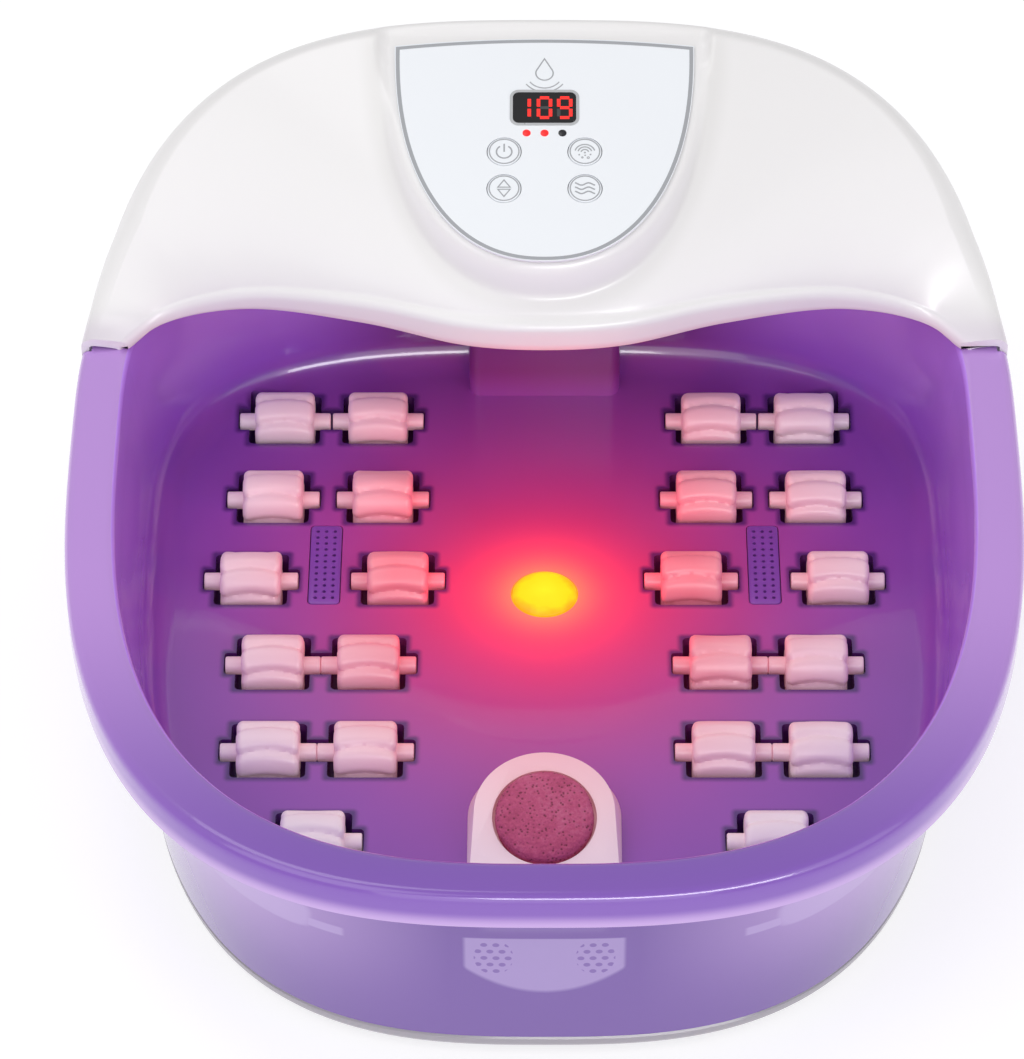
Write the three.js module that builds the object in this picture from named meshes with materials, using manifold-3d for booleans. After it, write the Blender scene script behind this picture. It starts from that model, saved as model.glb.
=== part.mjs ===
// Foot spa basin: a translucent tub with a rim to lift it by, a white hood over the toes that carries
// the control panel, and a white pan below. Twenty-two massage rollers turn in pits in the tub's floor.
// Under the floor are the heater, the lamp and the vibration motor; the air blower sits in the hood and
// feeds two bubble strips. Millimetres, +Z up. The user sits at -Y, and the toes point to +Y.
// The origin is on the surface that the basin stands on, under the middle of the tub's overall size.
import * as THREE from "three";
import { mergeVertices } from "three/addons/utils/BufferGeometryUtils.js";
import Module from "manifold-3d";

const wasm = await Module();
wasm.setup();

// ---------------------------------------------------------------- driving dimensions
const GAP = 0.3; // between two pieces that touch
const WALL = 3; // every moulded wall
const OUTLINE_POINTS = 48; // round the tub

// Plan of the tub's rim: two half superellipses that meet at the widest line.
const RIM = { halfWidth: 183.5, front: -200, back: 200, widestY: 58 };
const FRONT_CURVE = { across: 2.8, along: 2.9 }; // exponents of the front half
const BACK_CURVE = { across: 3.0, along: 3.1 }; // exponents of the back half
const RIM_WIDTH = 19; // from the rim's outer face to the tub's inner face
const RIM_TOP = 118;
const RIM_SKIRT = 16; // height of the skirt that hangs from the rim's outer edge
const RIM_ROUND = 4; // radius of the rim's outer top edge

// How far the tub's outer wall leans in from its top to its foot.
const LEAN = { side: 11, front: 13.5, back: 6 };
const WALL_FOOT = 12; // height of the tub wall's lower edge
const FLOOR_TOP = 45;

// Base pan and feet.
const PAN_BOTTOM = 3;
const PAN_TUCK = 8; // how far the pan's underside is smaller than its rim
const PAN_LIP = 7; // height of the pan's locating lip inside the tub's wall
const FOOT = { radius: 13, x: 98, front: -92, back: 128, studRadius: 3.7 };
const SCREW = { headRadius: 3.5, headHeight: 2, shankRadius: 1.5, reach: 24 };
const BOSS = { radius: 4.6, x: 42, front: -118, back: 118, holeRadius: 1.9 };

// Massage rollers, by row from the toes to the heel. spread is the distance of each roller's middle
// from its foot's centre line, and a spread of 0 is one roller alone.
const FOOT_X = 87; // each foot's centre line
const ROLLER = { drumRadius: 12, drumLength: 24, stubRadius: 3.5, length: 37, lobes: 6, valley: 1.3 };
const ROLLER_DROP = 1; // roller axis below the floor's surface
const ROW_FIRST = 138;
const ROW_PITCH = 47.8;
const ROW_SPREADS = [19, 22, 29, 18.6, 18.6, 0];
const PIT_CLEARANCE = 2; // round a drum
const STUB_SLOT = 12; // width of the recess round a stub shaft
const CRADLE_CLEARANCE = 0.3; // under and beside a stub shaft

// Duct up the middle of the tub's back, for the air hose and the wires.
const DUCT = { halfWidth: 28, front: 156 };
const COVER_STAND = 1.2; // how far the back cover stands proud of the tub's wall
const GLAND = { x: 14, z: 34, barrelRadius: 6, flangeRadius: 8.5 };

// Hood. The lip is its front edge, from the rim's inner edge to the middle and back.
const HOOD_FRONT = 97; // where the hood's sides end on the rim
const LIP_POINTS = [
  [164, 97, 122],
  [150, 108, 127],
  [118, 105, 140],
  [70, 87, 151],
  [30, 71, 154.5],
  [0, 68, 155],
];
const LIP_HEIGHT = 13; // of the lip's band at the middle
const LIP_ROUND = 4;
const RIDGE_TOP = 210; // height of the hood at the middle of its back
const RIDGE_START = 112; // the ridge rises behind this line
const SHOULDER = { across: 15, down: 17 }; // rounding of the hood's back edge
const HOOD_SECTIONS = 24;
const TOP_CURVE = 0.76; // exponent of the rise from the lip to the ridge

// Control panel: a platform on the hood with a label, a display and four keys. Its frame lies on the
// label's lower point and leans back.
const PANEL = { y: 81, z: 175.5, tilt: 16, length: 106, halfWidth: 59 };
const PLATFORM = { margin: 4, flare: 12, drop: 20 };
const LENGTHWISE = 0.3; // share of a margin or flare that the label's outline grows by along the panel
const LABEL_CURVE = 2.25; // exponent of the label's rounded end; 2 is an ellipse
const LABEL_THICKNESS = 1;
const DISPLAY = { width: 26, height: 16, along: 72.5 };
const KEY = { radius: 6.5, x: 15.7, upper: 51.5, lower: 34, travel: 0.6, stemRadius: 2 };
const BOARD = { width: 74, length: 52, thickness: 1.6, along: 56, depth: 12 };

// Lamp, heater, bubble strips.
const LAMP = { radius: 13, y: 34, dome: 2, boardRadius: 14 };
const HEATER = { width: 62, length: 50, y: -14, thickness: 3 };
const PIT_REACH = ROLLER.drumRadius + PIT_CLEARANCE; // from a drum's axis to its pit's end walls
const STRIP_REAR = ROW_FIRST - ROW_PITCH - PIT_REACH - 2.2;
const STRIP_FRONT = ROW_FIRST - 2 * ROW_PITCH - PIT_REACH - 0.4;
const STRIP = {
  width: 13,
  length: STRIP_REAR - STRIP_FRONT,
  y: (STRIP_REAR + STRIP_FRONT) / 2,
  depth: 9,
  holes: 6,
};

// Vibration motor under the floor.
const VIBRATOR = { y: -76, z: 22.5, radius: 12, length: 34, weightRadius: 11, weightLength: 8, shaft: 1.5 };

// Blower in the hood.
const BLOWER = {
  y: 150,
  bottom: 123.5,
  radius: 33,
  height: 26,
  wheelRadius: 25,
  motorRadius: 17,
  motorHeight: 24,
};

const SPOUT = { y: 169, radius: 6.5, foot: 108 }; // the blower's outlet, down into the duct
const HOSE = { radius: 4, z: 17 };
const WIRE = { x: 25, y: 177 };
const LINER = 2; // thickness of the plate under the hood

// Pumice stone and its holder.
const HOLDER = {
  halfWidth: 29,
  back: -60,
  front: -166,
  topWidth: 24,
  topBack: -79,
  topHeight: FLOOR_TOP + 27,
};
const STONE = { y: -103, z: FLOOR_TOP + 17, radius: 19, thickness: 10, tilt: 18, proud: 4 };

// ---------------------------------------------------------------- materials
const plastic = (color, roughness, more = {}) =>
  new THREE.MeshStandardMaterial({ color, roughness, metalness: 0, ...more });
const metal = (color, roughness) => new THREE.MeshStandardMaterial({ color, roughness, metalness: 1 });
const PURPLE = plastic(0x7d4fc4, 0.25, { transparent: true, opacity: 0.75 });
const WHITE = plastic(0xf2f0f2, 0.35);
const LABEL = plastic(0xeef2f8, 0.3);
const SMOKED = plastic(0x101012, 0.12);
const RED = plastic(0xd8201c, 0.2);
const STONE_PINK = plastic(0xa8505f, 0.95);
const CIRCUIT = plastic(0x1f6b42, 0.55);
const DARK = plastic(0x2a2b2e, 0.6);
const RUBBER = plastic(0x36373a, 0.85);
const ALUMINIUM = metal(0xb9bcc0, 0.4);
const STEEL = metal(0x9a9da2, 0.35);

// ---------------------------------------------------------------- solids and booleans
// A closed three.js geometry as a manifold-3d solid.
function solid(geometry) {
  const flat = geometry.index ? geometry.toNonIndexed() : geometry.clone();
  flat.deleteAttribute("normal");
  flat.deleteAttribute("uv");
  const merged = mergeVertices(flat, 1e-4);
  return new wasm.Manifold(
    new wasm.Mesh({
      numProp: 3,
      vertProperties: new Float32Array(merged.attributes.position.array),
      triVerts: new Uint32Array(merged.index.array),
    }),
  );
}

// A solid as a three.js geometry.
function geometryOf(made) {
  const mesh = made.getMesh();
  const geometry = new THREE.BufferGeometry();
  geometry.setAttribute("position", new THREE.BufferAttribute(new Float32Array(mesh.vertProperties), 3));
  geometry.setIndex(new THREE.BufferAttribute(new Uint32Array(mesh.triVerts), 1));
  geometry.computeVertexNormals();
  return geometry;
}

const join = (solids) => solids.reduce((sum, next) => sum.add(next));
const cut = (body, tools) => tools.reduce((left, tool) => left.subtract(tool), body);

// Box between two corners.
function block(low, high) {
  const size = high.map((value, i) => value - low[i]);
  const box = new THREE.BoxGeometry(...size);
  return solid(box.translate(...low.map((value, i) => value + size[i] / 2)));
}

// Upright cylinder between two heights; sides follow its radius.
function post(radius, x, y, low, high, sides = 16, topRadius = radius) {
  const made = new THREE.CylinderGeometry(topRadius, radius, high - low, sides);
  return solid(made.rotateX(Math.PI / 2).translate(x, y, (low + high) / 2));
}

// Cylinder along X between two places.
function rod(radius, low, high, y, z, sides = 16) {
  const made = new THREE.CylinderGeometry(radius, radius, high - low, sides);
  return solid(made.rotateZ(Math.PI / 2).translate((low + high) / 2, y, z));
}

// Solid through closed rings of equal length, its first and last ring capped with a fan.
function loft(rings) {
  const count = rings[0].length;
  const middle = (ring) =>
    ring.reduce((sum, p) => sum.add(p), new THREE.Vector3()).divideScalar(count);
  const points = [...rings.flat(), middle(rings[0]), middle(rings[rings.length - 1])];
  const faces = [];
  for (let r = 0; r + 1 < rings.length; r++) {
    for (let i = 0; i < count; i++) {
      const a = r * count + i;
      const b = r * count + ((i + 1) % count);
      faces.push(a, b, b + count, a, b + count, a + count);
    }
  }
  const firstMiddle = rings.length * count;
  const last = (rings.length - 1) * count;
  for (let i = 0; i < count; i++) {
    const next = (i + 1) % count;
    faces.push(firstMiddle, next, i, firstMiddle + 1, last + i, last + next);
  }
  const geometry = new THREE.BufferGeometry().setFromPoints(points);
  geometry.setIndex(faces);
  const made = solid(geometry);
  if (made.volume() >= 0) return made;
  geometry.setIndex(faces.reverse());
  return solid(geometry);
}

// Tube or wire along points, as one closed solid.
function pipe(points, radius, sides = 8, steps = 24) {
  const curve = new THREE.CatmullRomCurve3(points.map((p) => new THREE.Vector3(...p)), false, "chordal");
  const section = new THREE.Shape(
    Array.from({ length: sides }, (_, i) => {
      const turn = (2 * Math.PI * i) / sides;
      return new THREE.Vector2(radius * Math.cos(turn), radius * Math.sin(turn));
    }),
  );
  return solid(new THREE.ExtrudeGeometry(section, { steps, extrudePath: curve, bevelEnabled: false }));
}

const object = new THREE.Group();

function add(name, shape, material, parent = object) {
  const mesh = new THREE.Mesh(shape.isBufferGeometry ? shape : geometryOf(shape), material);
  mesh.name = name;
  parent.add(mesh);
  return mesh;
}

// ---------------------------------------------------------------- plan outlines
// A point on a superellipse quarter, at a turn from 0 (across) to 90 degrees (along).
function onCurve(turn, reachAcross, reachAlong, curve) {
  const c = Math.cos(turn);
  const s = Math.sin(turn);
  return [
    Math.sign(c) * reachAcross * Math.abs(c) ** (2 / curve.across),
    Math.sign(s) * reachAlong * Math.abs(s) ** (2 / curve.along),
  ];
}

// The rim's plan, with its sides, front and back moved in, as evenly spaced points from the front's
// middle towards +X.
function plan(inset, count = OUTLINE_POINTS) {
  const even = typeof inset === "number";
  const { side, front, back } = even ? { side: inset, front: inset, back: inset } : inset;
  const dense = [];
  const fine = 720;
  for (let i = 0; i < fine; i++) {
    const turn = -Math.PI / 2 + (2 * Math.PI * i) / fine;
    const ahead = Math.sin(turn) < 0;
    const along = ahead ? RIM.widestY - RIM.front - front : RIM.back - back - RIM.widestY;
    const [x, y] = onCurve(turn, RIM.halfWidth - side, along, ahead ? FRONT_CURVE : BACK_CURVE);
    dense.push(new THREE.Vector2(x, y + RIM.widestY));
  }
  const path = new THREE.Path(dense.concat(dense[0]));
  return path.getSpacedPoints(count).slice(0, count);
}

const ring = (inset, z, count) => plan(inset, count).map((p) => new THREE.Vector3(p.x, p.y, z));

// How far the tub's outer wall is inside the rim's outer face at a height.
function wallInset(z, deeper = 0) {
  const share = (RIM_TOP - z) / (RIM_TOP - WALL_FOOT);
  const top = RIM_WIDTH - WALL;
  return {
    side: top + LEAN.side * share + deeper,
    front: top + LEAN.front * share + deeper,
    back: top + LEAN.back * share + deeper,
  };
}

const wallSolid = (low, high, deeper) =>
  loft([ring(wallInset(low, deeper), low), ring(wallInset(high, deeper), high)]);

// ---------------------------------------------------------------- rollers
const AXIS_Z = FLOOR_TOP - ROLLER_DROP;
const rows = ROW_SPREADS.map((spread, i) => ({ spread, y: ROW_FIRST - ROW_PITCH * i }));

// Every roller's place: two feet, six rows, one or two rollers in a row.
const rollers = [];
for (const [side, sign] of [["left", -1], ["right", 1]]) {
  rows.forEach(({ spread, y }, row) => {
    const ends = spread ? [["outer", spread], ["inner", -spread]] : [["middle", 0]];
    for (const [end, offset] of ends) {
      rollers.push({ name: `roller_${side}_${row + 1}_${end}`, x: sign * (FOOT_X + offset), y });
    }
  });
}

// A lobed drum on two stub shafts, about the X axis.
function rollerSolid() {
  const { drumRadius, drumLength, stubRadius, length, lobes, valley } = ROLLER;
  const shoulder = 2.5;
  const sides = lobes * 2;
  const stations = [
    [-length / 2, stubRadius, 0],
    [-drumLength / 2, stubRadius, 0],
    [-drumLength / 2 + shoulder, drumRadius, valley],
    [drumLength / 2 - shoulder, drumRadius, valley],
    [drumLength / 2, stubRadius, 0],
    [length / 2, stubRadius, 0],
  ];
  const rings = stations.map(([x, radius, dip]) =>
    Array.from({ length: sides }, (_, i) => {
      const turn = (2 * Math.PI * i) / sides;
      const reach = radius - (i % 2) * dip;
      return new THREE.Vector3(x, reach * Math.cos(turn), reach * Math.sin(turn));
    }),
  );
  return loft(rings);
}

// The pit's outer block and its hollows for one roller, in the tub's frame.
function pit({ x, y }) {
  const halfDrum = ROLLER.drumLength / 2 + PIT_CLEARANCE;
  const halfRound = ROLLER.drumRadius + PIT_CLEARANCE;
  const halfStub = ROLLER.length / 2 + 0.6;
  const bottom = AXIS_Z - halfRound;
  const cradle = ROLLER.stubRadius + CRADLE_CLEARANCE;
  const over = FLOOR_TOP + 1;
  const shell = 2;
  const stubBottom = AXIS_Z - cradle;
  return {
    block: join([
      block(
        [x - halfDrum - shell, y - halfRound - shell, bottom - shell],
        [x + halfDrum + shell, y + halfRound + shell, FLOOR_TOP - 1],
      ),
      block(
        [x - halfStub - shell, y - STUB_SLOT / 2 - shell, stubBottom - shell],
        [x + halfStub + shell, y + STUB_SLOT / 2 + shell, FLOOR_TOP - 1],
      ),
    ]),
    hollow: join([
      block([x - halfDrum, y - halfRound, bottom], [x + halfDrum, y + halfRound, over]),
      block([x - halfStub, y - STUB_SLOT / 2, FLOOR_TOP - 3], [x + halfStub, y + STUB_SLOT / 2, over]),
      block([x - halfStub, y - cradle, stubBottom], [x + halfStub, y + cradle, over]),
    ]),
  };
}

// ---------------------------------------------------------------- tub
const bossPlaces = [-1, 1].flatMap((side) => [BOSS.front, BOSS.back].map((y) => [side * BOSS.x, y]));
const SKIRT_FOOT = RIM_TOP - RIM_SKIRT;

function basinSolid() {
  const underside = FLOOR_TOP - WALL;
  // The rim: rounded outer edge, hollow below between its skirt and the wall.
  const edge = [0, 30, 60, 90].map((degrees) => {
    const turn = (degrees * Math.PI) / 180;
    return ring(RIM_ROUND * (1 - Math.cos(turn)), RIM_TOP - RIM_ROUND * (1 - Math.sin(turn)));
  });
  const rim = cut(loft([ring(0.8, SKIRT_FOOT), ...edge]), [
    loft([ring(WALL, SKIRT_FOOT - 1), ring(WALL, RIM_TOP - WALL)]),
  ]);
  // Behind the hood's front edge the hood's own wall replaces the skirt.
  const behind = block([-250, HOOD_FRONT, SKIRT_FOOT - 1], [250, 260, RIM_TOP + 1]);
  const skirtBand = behind.subtract(loft([ring(WALL + 1, SKIRT_FOOT - 2), ring(WALL + 1, RIM_TOP + 2)]));
  const inside = loft([
    ring(wallInset(FLOOR_TOP, WALL), FLOOR_TOP),
    ring(wallInset(RIM_TOP, WALL), RIM_TOP + 1),
  ]);
  const pits = rollers.map(pit);
  const bosses = bossPlaces.map(([x, y]) =>
    post(BOSS.radius, x, y, PAN_BOTTOM + WALL + GAP, underside + 0.5, 12),
  );
  const duct = block(
    [-DUCT.halfWidth - WALL, DUCT.front - WALL, FLOOR_TOP - 0.5],
    [DUCT.halfWidth + WALL, RIM.back - RIM_WIDTH + 1, RIM_TOP],
  );
  const shell = cut(wallSolid(WALL_FOOT, RIM_TOP - 0.5, 0).add(rim.subtract(skirtBand)), [
    inside,
    wallSolid(WALL_FOOT - 1, underside, WALL),
  ]);
  return cut(join([shell, duct, ...bosses, ...pits.map((p) => p.block)]), [
    ...pits.map((p) => p.hollow),
    ...bossPlaces.map(([x, y]) => post(BOSS.holeRadius, x, y, 0, SCREW.reach + 3, 8)),
    block([-DUCT.halfWidth, DUCT.front, 0], [DUCT.halfWidth, RIM.back, SKIRT_FOOT - GAP]),
    block([-DUCT.halfWidth, DUCT.front, 0], [DUCT.halfWidth, RIM.back - RIM_WIDTH, RIM_TOP + 1]),
    post(LAMP.radius + GAP, 0, LAMP.y, underside - 1, FLOOR_TOP + 1, 28),
    ...[-1, 1].map((side) =>
      block(
        [side * FOOT_X - STRIP.width / 2, STRIP.y - STRIP.length / 2, underside - 1],
        [side * FOOT_X + STRIP.width / 2, STRIP.y + STRIP.length / 2, FLOOR_TOP + 1],
      ),
    ),
  ]);
}

// ---------------------------------------------------------------- pan, feet and screws
const panFeet = [-1, 1].flatMap((side) =>
  [["front", FOOT.front], ["rear", FOOT.back]].map(([end, y]) => ({
    name: `foot_pad_${end}_${side < 0 ? "left" : "right"}`,
    x: side * FOOT.x,
    y,
  })),
);

function panSolid() {
  const rimInset = wallInset(WALL_FOOT);
  const inset = (more) => ({
    side: rimInset.side + more,
    front: rimInset.front + more,
    back: rimInset.back + more,
  });
  const top = WALL_FOOT - GAP;
  const outside = loft([
    ring(inset(PAN_TUCK), PAN_BOTTOM),
    ring(inset(PAN_TUCK * 0.45), PAN_BOTTOM + 1.2),
    ring(inset(PAN_TUCK * 0.15), PAN_BOTTOM + 4),
    ring(inset(0), top),
  ]);
  const lip = loft([ring(inset(WALL + 0.6), top - 2), ring(inset(WALL + 1.2), top + PAN_LIP)]);
  const ductNotch = block([-DUCT.halfWidth - 2, RIM.back - 45, top], [DUCT.halfWidth + 2, RIM.back, 60]);
  return cut(join([outside, lip.subtract(ductNotch)]), [
    loft([ring(inset(PAN_TUCK + 1), PAN_BOTTOM + WALL), ring(inset(WALL + 3.2), top + PAN_LIP + 1)]),
    ...panFeet.map(({ x, y }) => post(FOOT.studRadius + GAP, x, y, 0, 12, 12)),
    ...bossPlaces.map(([x, y]) => post(BOSS.holeRadius, x, y, 0, 12, 8)),
  ]);
}

function footSolid() {
  const pad = post(FOOT.radius, 0, 0, 0, PAN_BOTTOM - GAP, 24, FOOT.radius - 1.5);
  return pad.add(post(FOOT.studRadius, 0, 0, 1, PAN_BOTTOM + WALL + 2.5, 12));
}

function screwSolid() {
  const under = PAN_BOTTOM - GAP;
  return post(SCREW.headRadius, 0, 0, under - SCREW.headHeight, under, 12).add(
    post(SCREW.shankRadius, 0, 0, under - 1, SCREW.reach, 8),
  );
}

// ---------------------------------------------------------------- hood
const lipCurve = new THREE.CatmullRomCurve3(
  [
    ...LIP_POINTS.map(([x, y, z]) => new THREE.Vector3(-x, y, z)),
    ...LIP_POINTS.slice(0, -1).reverse().map(([x, y, z]) => new THREE.Vector3(x, y, z)),
  ],
  false,
  "centripetal",
);

// The rim's outline behind the hood's front edge, from -X round the back to +X.
const rimCurve = (() => {
  const right = plan(0, 1440).filter((p) => p.x > 0.01 && p.y > HOOD_FRONT);
  const left = right.map((p) => new THREE.Vector2(-p.x, p.y));
  const points = [...left, new THREE.Vector2(0, RIM.back), ...right.reverse()];
  points[0].y = HOOD_FRONT;
  points[points.length - 1].y = HOOD_FRONT;
  return new THREE.Path(points);
})();

// Height of the hood's ridge above a rim point.
function ridgeHeight(y) {
  const rise = (t) => (Math.hypot(t - RIDGE_START, 9) + t - RIDGE_START) / 2;
  const low = LIP_POINTS[0][2];
  return low + (RIDGE_TOP - low) * (rise(y) / rise(RIM.back));
}

// The vertical section of the hood at a share of the way round, moved in by an inset, down to given heights.
function hoodSection(share, inset, lipFoot, wallFoot) {
  const lip = lipCurve.getPointAt(share);
  const rim = rimCurve.getPointAt(share);
  const across = new THREE.Vector2(rim.x - lip.x, rim.y - lip.y);
  const length = across.length();
  across.normalize();
  const ridge = ridgeHeight(rim.y);
  const high = ridge - LIP_POINTS[0][2];
  const shoulderAcross = Math.min(SHOULDER.across, length * 0.3);
  const shoulderDown = Math.min(SHOULDER.down, 3 + high * 0.5);
  const lipRound = Math.min(LIP_ROUND, length * 0.2) - inset * 0.3;
  const start = inset;
  const end = length - inset;
  const flatEnd = length - shoulderAcross;
  const points = [[start, lipFoot ?? lip.z - lipBand(share)]];
  for (const degrees of [0, 45, 90]) {
    const turn = (degrees * Math.PI) / 180;
    points.push([
      start + lipRound * (1 - Math.cos(turn)),
      lip.z - inset - lipRound * (1 - Math.sin(turn)),
    ]);
  }
  const steps = 5;
  for (let i = 1; i <= steps; i++) {
    const d = start + lipRound + ((flatEnd - start - lipRound) * i) / steps;
    const part = (d - start - lipRound) / (flatEnd - start - lipRound);
    points.push([d, lip.z + (ridge - lip.z) * part ** TOP_CURVE - inset]);
  }
  const reach = end - flatEnd;
  for (const degrees of [25, 50, 72, 90]) {
    const turn = (degrees * Math.PI) / 180;
    points.push([
      flatEnd + reach * Math.sin(turn),
      ridge - inset - (shoulderDown - inset) * (1 - Math.cos(turn)),
    ]);
  }
  points.push([end, wallFoot], [end - WALL, wallFoot], [start + WALL, points[0][1]]);
  return points.map(([d, z]) => new THREE.Vector3(lip.x + across.x * d, lip.y + across.y * d, z));
}

// Height of the lip's band: full at the middle, the wall's thickness at the ends.
function lipBand(share) {
  return WALL + (LIP_HEIGHT - WALL) * Math.sin(Math.PI * share) ** 0.8;
}

function hoodSections(inset, lipFoot, wallFoot) {
  return Array.from({ length: HOOD_SECTIONS + 1 }, (_, i) =>
    hoodSection(i / HOOD_SECTIONS, inset, lipFoot, wallFoot),
  );
}

const panelFrame = new THREE.Group();
panelFrame.position.set(0, PANEL.y, PANEL.z);
panelFrame.rotation.x = (PANEL.tilt * Math.PI) / 180;
object.add(panelFrame);
panelFrame.updateMatrix();

// Moves a geometry from the panel's frame to the object's.
const inPanel = (geometry) => geometry.applyMatrix4(panelFrame.matrix);

// Half-ellipse below a slightly arched top, as a three.js shape.
function labelShape(margin) {
  const halfWidth = PANEL.halfWidth + margin;
  const top = PANEL.length + margin * LENGTHWISE;
  const arch = 3.5;
  const shape = new THREE.Shape();
  const bulge = (value) => Math.sign(value) * Math.abs(value) ** (2 / LABEL_CURVE);
  const steps = 26;
  for (let i = 0; i <= steps; i++) {
    const turn = Math.PI + (Math.PI * i) / steps;
    const x = halfWidth * bulge(Math.cos(turn));
    const y = top - arch + (top - arch + margin * LENGTHWISE) * bulge(Math.sin(turn));
    if (i === 0) shape.moveTo(x, y);
    else shape.lineTo(x, y);
  }
  const archSteps = 6;
  for (let i = 1; i < archSteps; i++) {
    const across = 1 - (2 * i) / archSteps;
    shape.lineTo(halfWidth * across, top - arch * across * across);
  }
  return shape;
}

// A label-shaped prism between two heights of the panel's frame, flared towards its foot.
function labelPrism(margin, low, high, flare = 0) {
  const shape = (grow) => labelShape(grow).getPoints();
  const level = (grow, z) =>
    shape(grow).map((p) => new THREE.Vector3(p.x, p.y, z).applyMatrix4(panelFrame.matrix));
  return loft([level(margin + flare, low), level(margin, high)]);
}

const keyPlaces = [
  ["button_power", -KEY.x, KEY.upper],
  ["button_light_bubble", KEY.x, KEY.upper],
  ["button_temperature", -KEY.x, KEY.lower],
  ["button_vibration", KEY.x, KEY.lower],
];

// Round and square prisms in the panel's frame.
function panelPost(radius, x, y, low, high, sides) {
  const made = new THREE.CylinderGeometry(radius, radius, high - low, sides);
  return solid(inPanel(made.rotateX(Math.PI / 2).translate(x, y, (low + high) / 2)));
}

function panelBlock(width, length, x, y, low, high) {
  return solid(inPanel(new THREE.BoxGeometry(width, length, high - low).translate(x, y, (low + high) / 2)));
}

const boardPosts = [-1, 1].flatMap((sx) =>
  [-1, 1].map((sy) => [(sx * (BOARD.width - 10)) / 2, BOARD.along + (sy * (BOARD.length - 10)) / 2]),
);

function hoodSolid() {
  const outside = loft(hoodSections(0, undefined, SKIRT_FOOT));
  const inside = hoodSections(WALL, 40, 40);
  const ahead = (section) => section.map((p) => p.clone().add(new THREE.Vector3(0, -20, 0)));
  const hollow = loft([ahead(inside[0]), ...inside, ahead(inside[inside.length - 1])]);
  const { margin, drop, flare } = PLATFORM;
  const platform = labelPrism(margin, -drop, 0, flare);
  const kept = labelPrism(margin + WALL, -WALL, 30);
  const under = labelPrism(margin - WALL, -drop - 2 * WALL, -WALL, flare);
  const posts = boardPosts.map(([x, y]) => panelPost(3, x, y, -BOARD.depth + GAP, -WALL + 0.5, 10));
  const shell = cut(outside.add(platform), [hollow.subtract(kept), under, labelPrism(margin, 0, 30)]);
  return cut(join([shell, ...posts]), [
    panelBlock(DISPLAY.width + 1, DISPLAY.height + 1, 0, DISPLAY.along, -20, 5),
    ...keyPlaces.map(([, x, y]) => panelPost(KEY.radius + 0.4, x, y, -20, 5, 20)),
  ]);
}

// A plate that closes the hood over the toes and carries the blower. It follows the lip's lower edge.
function linerSolid() {
  const low = RIM_TOP + GAP;
  const sections = Array.from({ length: HOOD_SECTIONS + 1 }, (_, i) => {
    const share = 0.08 + (0.84 * i) / HOOD_SECTIONS;
    const lip = lipCurve.getPointAt(share);
    const rim = rimCurve.getPointAt(share);
    const across = new THREE.Vector2(rim.x - lip.x, rim.y - lip.y);
    const length = across.length();
    across.normalize();
    const front = Math.max(lip.z - lipBand(share) + 0.5, low);
    const start = WALL + 1.5;
    const end = length - WALL - GAP * 3;
    const level = (part) => low + (front - low) * Math.max(0, 1 - part / 0.36) ** 1.6;
    const parts = [0, 0.08, 0.16, 0.25, 0.36, 1];
    const at = (part, rise) =>
      new THREE.Vector3(
        lip.x + across.x * (start + (end - start) * part),
        lip.y + across.y * (start + (end - start) * part),
        level(part) + rise,
      );
    return [...parts.map((part) => at(part, 0)), ...parts.map((part) => at(part, LINER)).reverse()];
  });
  return cut(loft(sections), [post(SPOUT.radius + 1, 0, SPOUT.y, 100, 140, 20), wireHole()]);
}

const wireHole = () => post(4, WIRE.x, WIRE.y, 100, 140, 12);

// ---------------------------------------------------------------- back cover and cord gland
function coverSolid() {
  const low = WALL_FOOT + GAP;
  const high = SKIRT_FOOT - 2 * GAP;
  const reach = DUCT.halfWidth - GAP;
  const plate = wallSolid(low, high, -COVER_STAND).subtract(wallSolid(low - 1, high + 1, WALL - COVER_STAND));
  const trimmed = plate.intersect(block([-reach, DUCT.front, low], [reach, RIM.back, high]));
  return trimmed.subtract(alongY(GLAND.barrelRadius + GAP, GLAND.x, GLAND.z, 150, 210));
}

// Cylinder along Y between two places.
function alongY(radius, x, z, low, high, sides = 20) {
  const made = new THREE.CylinderGeometry(radius, radius, high - low, sides);
  return solid(made.translate(x, (low + high) / 2, z));
}

function glandSolid() {
  const wall = RIM.back - wallInset(GLAND.z).back + COVER_STAND;
  return join([
    alongY(GLAND.barrelRadius, GLAND.x, GLAND.z, wall - 9, wall + 1.5),
    alongY(GLAND.flangeRadius, GLAND.x, GLAND.z, wall + 1, wall + 3.5),
    alongY(GLAND.flangeRadius, GLAND.x, GLAND.z, wall - 9, wall - 5.5),
  ]);
}

// ---------------------------------------------------------------- control panel
const LABEL_LOW = GAP;
const LABEL_TOP = LABEL_LOW + LABEL_THICKNESS;
const boardTop = -BOARD.depth;

function overlaySolid() {
  return cut(labelPrism(0, LABEL_LOW, LABEL_TOP), [
    panelBlock(DISPLAY.width, DISPLAY.height, 0, DISPLAY.along, -5, 5),
    ...keyPlaces.map(([, x, y]) => panelPost(KEY.radius + GAP, x, y, -5, 5, 28)),
  ]);
}

function displayWindowSolid() {
  const inset = 2 * GAP;
  return panelBlock(DISPLAY.width - inset, DISPLAY.height - inset, 0, DISPLAY.along, -0.6, LABEL_TOP);
}

function displayModuleSolid() {
  return panelBlock(DISPLAY.width - 2, DISPLAY.height - 2, 0, DISPLAY.along, boardTop + GAP, -0.6 - GAP);
}

const SWITCH_HEIGHT = 3;

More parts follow.
